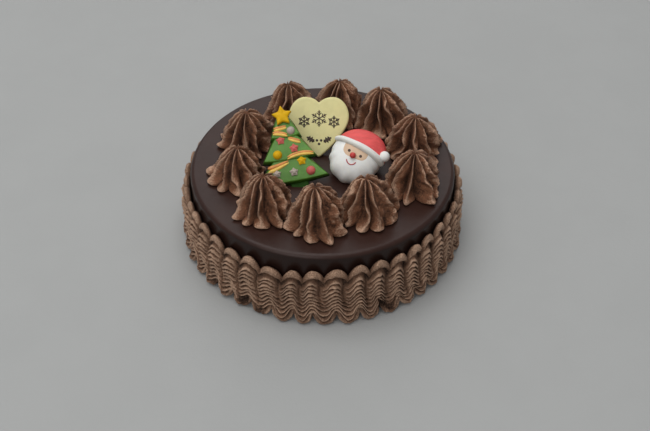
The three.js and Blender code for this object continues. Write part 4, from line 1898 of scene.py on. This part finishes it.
@dataclass
class BeardedHead:
    """The moulded head: beard, face, cap, brim, bobble and nose."""

    stand: Stand = Stand((19.9, -5.0, 60.2), 34.0, -27.0)
    half_width: float = 16.2
    left_width: float = 15.0
    half_height: float = 17.4
    front: float = 11.5
    back: float = 9.0
    roundness: float = 2.4
    rows: int = 60
    columns: int = 144
    row_power: float = 0.8
    # Heights between which the crest value rises: painted shade at the back to painted highlight on the
    # front.
    crest_low: float = -3.0
    crest_high: float = 0.8
    seat: float = 50.7
    # The beard's lobes, where they start, and strength, number and start of the waves that shift them
    scallop: float = 0.4
    scallops: int = 12
    scallop_below: Span = (-0.15, 0.4)
    scallop_rim: Span = (0.6, 1.0)
    scallop_drift: tuple[Point3, ...] = ((0.8, 2.0, 0.0), (0.5, 5.0, 1.0))
    cap_grow: float = 0.35
    cap_bulge: float = 2.6
    cap_bulge_angle: float = 42.0
    cap_bulge_power: int = 4
    # The line between cap and beard, and how far below it the beard stops and the cap starts
    part_height: float = 4.7
    beard_stop: float = 0.2
    cap_start: float = 0.6
    # The face: its outline, its lift in the middle and sunk edge, and its tucked rim
    face_outline: Line = (
        (-8.9, 3.6), (-8.9, 0.4), (-8.1, -2.5), (-5.4, -4.4), (-2.4, -4.7), (0.8, -4.4), (3.6, -4.2),
        (6.6, -3.5), (8.3, -1.2), (8.6, 1.4), (8.0, 3.6),
    )
    face_middle: Point2 = (0.0, -0.6)
    face_steps: Steps = (160, 10)
    face_rows: int = 22
    face_lift: float = 0.16
    face_lift_power: int = 6
    face_sunk: float = 0.08
    face_tuck: float = 0.97
    face_depth: float = 1.0
    face_crest_power: int = 4
    eyes: Line = ((-3.8, -0.9), (3.8, -1.1))
    eye_radius: float = 0.95
    eye_rise: float = 0.5
    eye_sunk: float = 0.2
    smile: Line = ((-3.0, -6.2), (-1.6, -7.8), (0.5, -8.3), (2.4, -7.2), (3.0, -5.5))
    smile_radius: float = 0.36
    smile_lift: float = 0.02
    smile_end: float = 0.1
    smile_points: int = 40
    smile_sides: int = 10
    brim_path: tuple[Point3, ...] = (
        (-15.4, 4.2, 3.6), (-11.0, 4.5, 9.0), (-2.0, 4.5, 11.4), (6.0, 4.2, 10.9), (11.5, 3.5, 8.8),
        (14.6, 2.9, 5.9), (16.6, 2.4, 2.2),
    )
    brim_radii: Values = (1.5, 1.75, 1.95, 2.05, 2.2, 2.4, 2.2)
    brim_end: float = 0.045
    brim_points: int = 72
    brim_sides: int = 28
    brim_across: Point3 = (0.0, 1.0, 0.0)
    brim_uneven: Ripple = Ripple(0.04, 4.0)
    bobble_at: Point3 = (16.3, 6.6, 7.0)
    bobble_radius: float = 3.3
    bobble_steps: Steps = (36, 56)
    bobble_uneven: Ripple = Ripple(0.02, 3.0, layers=3)
    nose_at: Point2 = (-0.4, -3.1)
    nose_radius: float = 1.9
    nose_sunk: float = 0.5
    noise: LatticeNoise = LatticeNoise(57)

    def oval(self, angle: Array) -> Array:
        """Reach of the head's outline: the length of (half width * cosine, half height * sine)."""
        width = np.where(np.cos(angle) > 0.0, self.half_width, self.left_width)
        return np.hypot(width * np.cos(angle), self.half_height * np.sin(angle))

    def rise(self, share: Array, depth: float) -> Array:
        """Height over the outline's plane: depth * (1 - share^n)^(1/n), with n the roundness."""
        return depth * np.clip(1.0 - share**self.roundness, 0.0, 1.0) ** (1.0 / self.roundness)

    def front_height(self, flat: Array) -> Array:
        """Height of the head's front at places in its own plane.

        Args:
            flat: Places, with the two axes last.

        Returns:
            One height for each place.
        """
        angle = np.arctan2(flat[..., 1], flat[..., 0])
        share = np.linalg.norm(flat, axis=-1) / self.oval(angle)
        return self.rise(share, self.front)

    def cushion(self, grow: float, scallop: float, bulge: float) -> tuple[Array, Array]:
        """Rings of the whole head from the back of it to its front.

        The outline is the oval, plus a cosine for the lobes of its lower half, plus a power of a
        cosine for the bulge of the cap.

        Args:
            grow: How far it stands out from the plain head.
            scallop: How deep the lobes of its lower half are.
            bulge: How far it swells out at the cap's bulge.

        Returns:
            The rings, and each point's crest value.
        """
        slope = np.linspace(-math.pi / 2.0, math.pi / 2.0, self.rows + 2)[1:-1, None]
        angle = turn_steps(self.columns)[None, :]
        share = np.cos(slope) ** self.row_power
        lower = ease(-np.sin(angle), *self.scallop_below)
        drift = sum(far * np.sin(times * angle + start) for far, times, start in self.scallop_drift)
        lobes = np.cos(self.scallops * (angle + math.pi / 2.0) + drift)
        wavy = scallop * lower * lobes * ease(share, *self.scallop_rim)
        facing = np.cos(angle - math.radians(self.cap_bulge_angle))
        swell = bulge * np.maximum(0.0, facing) ** self.cap_bulge_power
        reach = share * (self.oval(angle) + grow + swell) + wavy
        depth = np.where(slope > 0.0, self.front + grow, self.back)
        tall = np.sign(slope) * self.rise(share, 1.0) * depth * np.ones_like(angle)
        # Crest value rises from the back to the front: painted shade towards the back and round the sides,
        # painted highlight on the front.
        return around_axis(reach, angle, tall), ease(tall, self.crest_low, self.front * self.crest_high)

    def trimmed(self, rings: Array, crest: Array, line: float, sense: Sense) -> Surface:
        """The head pressed flat on one side of a line across it.

        Args:
            rings: The whole head.
            crest: Its crest values.
            line: Height of the line in the head's own plane.
            sense: Which side is kept.

        Returns:
            The closed surface in the head's own plane.
        """
        kept = rings.copy()
        past = np.maximum(0.0, (line - kept[..., 1]) * sense.value)
        kept[..., 1] += past * sense.value
        ends = np.array([[0.0, line, -self.back], [0.0, line, self.front]])
        ends[:, 1] = np.maximum(0.0, line) if sense is Sense.ABOVE else np.minimum(0.0, line)
        return Surface.capped(kept, ends[0], ends[1], crest)

    def face(self) -> Surface:
        """The face: a patch on the head's front, lifted most in its middle and sunk at its edge.

        Returns:
            The closed surface in the head's own plane.
        """
        outline = even_outline(np.array(self.face_outline), *self.face_steps)
        middle = np.array(self.face_middle)
        inward = np.linspace(1.0, 0.0, self.face_rows)[:-1]
        share = np.concatenate([[self.face_tuck], inward])[:, None, None]
        flat = middle + (outline - middle)[None] * share
        lift = self.face_lift * (1.0 - share[..., 0] ** self.face_lift_power) - self.face_sunk
        lift[0] = -self.face_depth
        rings = self.on_front(flat, lift)
        top = self.front_height(middle)
        deep = np.append(middle, top - self.face_depth)
        high = np.append(middle, top + self.face_lift - self.face_sunk)
        # Crest value falls towards the sunk rim: painted shade round the face's edge.
        crest = np.broadcast_to(1.0 - share[..., 0] ** self.face_crest_power, rings.shape[:2])
        return Surface.capped(rings, deep, high, crest)

    def on_front(self, flat: Array, lift: Level) -> Array:
        """Places of the head's plane moved up to its front and a little beyond."""
        return np.concatenate([flat, (self.front_height(flat) + lift)[..., None]], axis=-1)

    def eye_dots(self) -> Surface:
        """The eyes: two flat dots on the front.

        Returns:
            The closed surfaces as one, in the head's own plane.
        """
        size = (self.eye_radius, self.eye_radius, self.eye_rise)
        middles = [self.on_front(np.array(at), self.face_lift - self.eye_sunk) for at in self.eyes]
        return Surface.joined([globe(tuple(middle), size) for middle in middles])

    def smile_line(self) -> Surface:
        """The smile: a thin cord on the front.

        Returns:
            The closed surface in the head's own plane.
        """
        path = self.on_front(even_path(list(self.smile), self.smile_points), self.smile_lift)
        radius = self.smile_radius * round_ends(self.smile_points, self.smile_end)
        return tube(path, radius, self.smile_sides, UP)

    def brim(self) -> Surface:
        """The rolled brim: a cord across the front whose radius changes along it.

        Returns:
            The closed surface in the head's own plane.
        """
        path = even_path(list(self.brim_path), self.brim_points)
        share = np.linspace(0.0, 1.0, len(path))
        radius = np.interp(share, np.linspace(0.0, 1.0, len(self.brim_radii)), self.brim_radii)
        radius = radius * round_ends(len(path), self.brim_end) * (1.0 + self.brim_uneven.at(self.noise, path))
        return tube(path, radius, self.brim_sides, self.brim_across)

    def bobble(self) -> Surface:
        """The bobble at the cap's end: a ball made uneven by noise.

        Returns:
            The closed surface in the head's own plane.
        """
        ball = globe(self.bobble_at, (self.bobble_radius,) * 3, *self.bobble_steps)
        middle = np.array(self.bobble_at)
        swell = 1.0 + self.bobble_uneven.at(self.noise, ball.points)
        return Surface(middle + (ball.points - middle) * swell[:, None], ball.faces, ball.crest)

    def nose(self) -> Surface:
        """The nose: a small ball sunk into the face."""
        height = float(self.front_height(np.array(self.nose_at))) + self.nose_radius - self.nose_sunk
        return globe((*self.nose_at, height), (self.nose_radius,) * 3)

    def build(self, maker: Maker) -> None:
        """Makes and dresses the head.

        Args:
            maker: Writes the pieces.
        """
        whole_beard = self.cushion(0.0, self.scallop, 0.0)
        whole_cap = self.cushion(self.cap_grow, 0.0, self.cap_bulge)
        beard = self.trimmed(*whole_beard, self.part_height - self.beard_stop, Sense.BELOW)
        cap = self.trimmed(*whole_cap, self.part_height - self.cap_start, Sense.ABOVE)
        parts = (
            ("sugar_beard", beard, WHITE_SUGAR, Slot.WHITE, "head_beard"),
            ("sugar_face", self.face(), SKIN_SUGAR, Slot.WHITE, "head_beard"),
            ("face_eyes", self.eye_dots(), DARK_SUGAR, Slot.WHITE, "head_beard"),
            ("face_smile", self.smile_line(), MOUTH_SUGAR, Slot.RED, "head_beard"),
            ("sugar_cap", cap, CAP_SUGAR, Slot.RED, "head_cap"),
            ("cap_brim", self.brim(), WHITE_SUGAR, Slot.WHITE, "head_brim"),
            ("cap_bobble", self.bobble(), WHITE_SUGAR, Slot.WHITE, "head_pompom"),
            ("face_nose", self.nose(), NOSE_SUGAR, Slot.RED, "head_nose"),
        )
        for name, surface, finish, slot, node in parts:
            maker.piece(name, surface.placed(self.stand).seated(self.seat), finish, node)


@dataclass(frozen=True)
class SoftLight:
    """A square soft light: its place and aim in metres, its side and its power."""

    name: str
    place: Point3
    aim: Point3
    side: float
    power: float
    colour: Colour = (1.0, 1.0, 1.0)

    def build(self) -> None:
        """Adds the light to the scene."""
        lamp = bpy.data.lights.new(self.name, "AREA")
        lamp.shape = "SQUARE"
        lamp.size = self.side
        lamp.energy = self.power
        lamp.color = self.colour
        holder = bpy.data.objects.new(self.name, lamp)
        holder.location = self.place
        holder.rotation_euler = (Vector(self.aim) - Vector(self.place)).to_track_quat("-Z", "Y").to_euler()
        bpy.context.scene.collection.objects.link(holder)


@dataclass
class Studio:
    """Plain floor, soft light and the camera at the photograph's angle."""

    floor_side: float = 16000.0
    floor_steps: int = 8
    floor_mark: float = 0.5
    target: Point3 = (1.77, 0.0, 7.12)
    distance: float = 712.3
    elevation: float = 42.52
    roll: float = 0.45
    focal_pixels: float = 1100.0
    image_width: float = 650.0
    sensor: float = 36.0
    ambient: Colour = (0.33, 0.335, 0.34)
    lights: tuple[SoftLight, ...] = (
        SoftLight("overhead", (-0.35, -0.05, 1.7), (0.0, 0.0, 0.0), 1.7, 19.0),
        SoftLight("back", (0.0, 1.5, 1.4), (0.0, 0.0, 0.04), 1.5, 7.5),
        SoftLight("front_fill", (-1.1, -2.6, 1.5), (0.0, 0.0, 0.02), 2.2, 25.5),
    )

    def floor(self, maker: Maker) -> None:
        """Makes a wide flat floor, a grid of x and y at the cake's foot.

        Args:
            maker: Writes its mesh.
        """
        side = np.linspace(-self.floor_side / 2.0, self.floor_side / 2.0, self.floor_steps + 1)
        x, y = np.meshgrid(side, side)
        points = np.stack([x, y, np.zeros_like(x)], axis=-1).reshape(-1, 3)
        row, column = np.divmod(np.arange(self.floor_steps**2), self.floor_steps)
        first = row * (self.floor_steps + 1) + column
        corners = [first, first + 1, first + self.floor_steps + 2, first + self.floor_steps + 1]
        surface = Surface(points, [np.stack(corners, axis=1)], np.full(len(points), self.floor_mark))
        maker.mesh_object("studio_floor", surface, FLOOR_PAPER)

    def camera(self) -> None:
        """The camera: back from its target along the elevation, turned by its roll."""
        tilt, roll = math.radians(self.elevation), math.radians(self.roll)
        back = Vector((0.0, -math.cos(tilt), math.sin(tilt)))
        level = Vector((1.0, 0.0, 0.0))
        upright = back.cross(level)
        right = level * math.cos(roll) + upright * math.sin(roll)
        up = upright * math.cos(roll) - level * math.sin(roll)
        lens = bpy.data.cameras.new("camera")
        lens.sensor_fit = "HORIZONTAL"
        lens.sensor_width = self.sensor
        lens.lens = self.sensor * self.focal_pixels / self.image_width
        holder = bpy.data.objects.new("camera", lens)
        place = (Vector(self.target) + back * self.distance) * MM
        turn = Matrix((right, up, back)).transposed().to_4x4()
        holder.matrix_world = Matrix.Translation(place) @ turn
        bpy.context.scene.collection.objects.link(holder)
        bpy.context.scene.camera = holder

    def build(self, maker: Maker) -> None:
        """Makes the floor, the lights and the camera.

        Args:
            maker: Writes the floor's mesh.
        """
        scene = bpy.context.scene
        scene.view_settings.view_transform = "Standard"
        world = bpy.data.worlds.new("studio")
        world.use_nodes = True
        world.node_tree.nodes["Background"].inputs["Color"].default_value = (*self.ambient, 1.0)
        scene.world = world
        self.floor(maker)
        for light in self.lights:
            light.build()
        self.camera()


def main() -> None:
    """Builds the studio and each part of the cake in order."""
    logging.basicConfig(level=logging.INFO)
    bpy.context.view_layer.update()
    maker = Maker()
    Studio().build(maker)
    for assembly in (GlazedCake(), SideFrill(), RosetteRing(), HeartPlaque(), SugarTree(), BeardedHead()):
        assembly.build(maker)


if __name__ == "__main__":
    main()
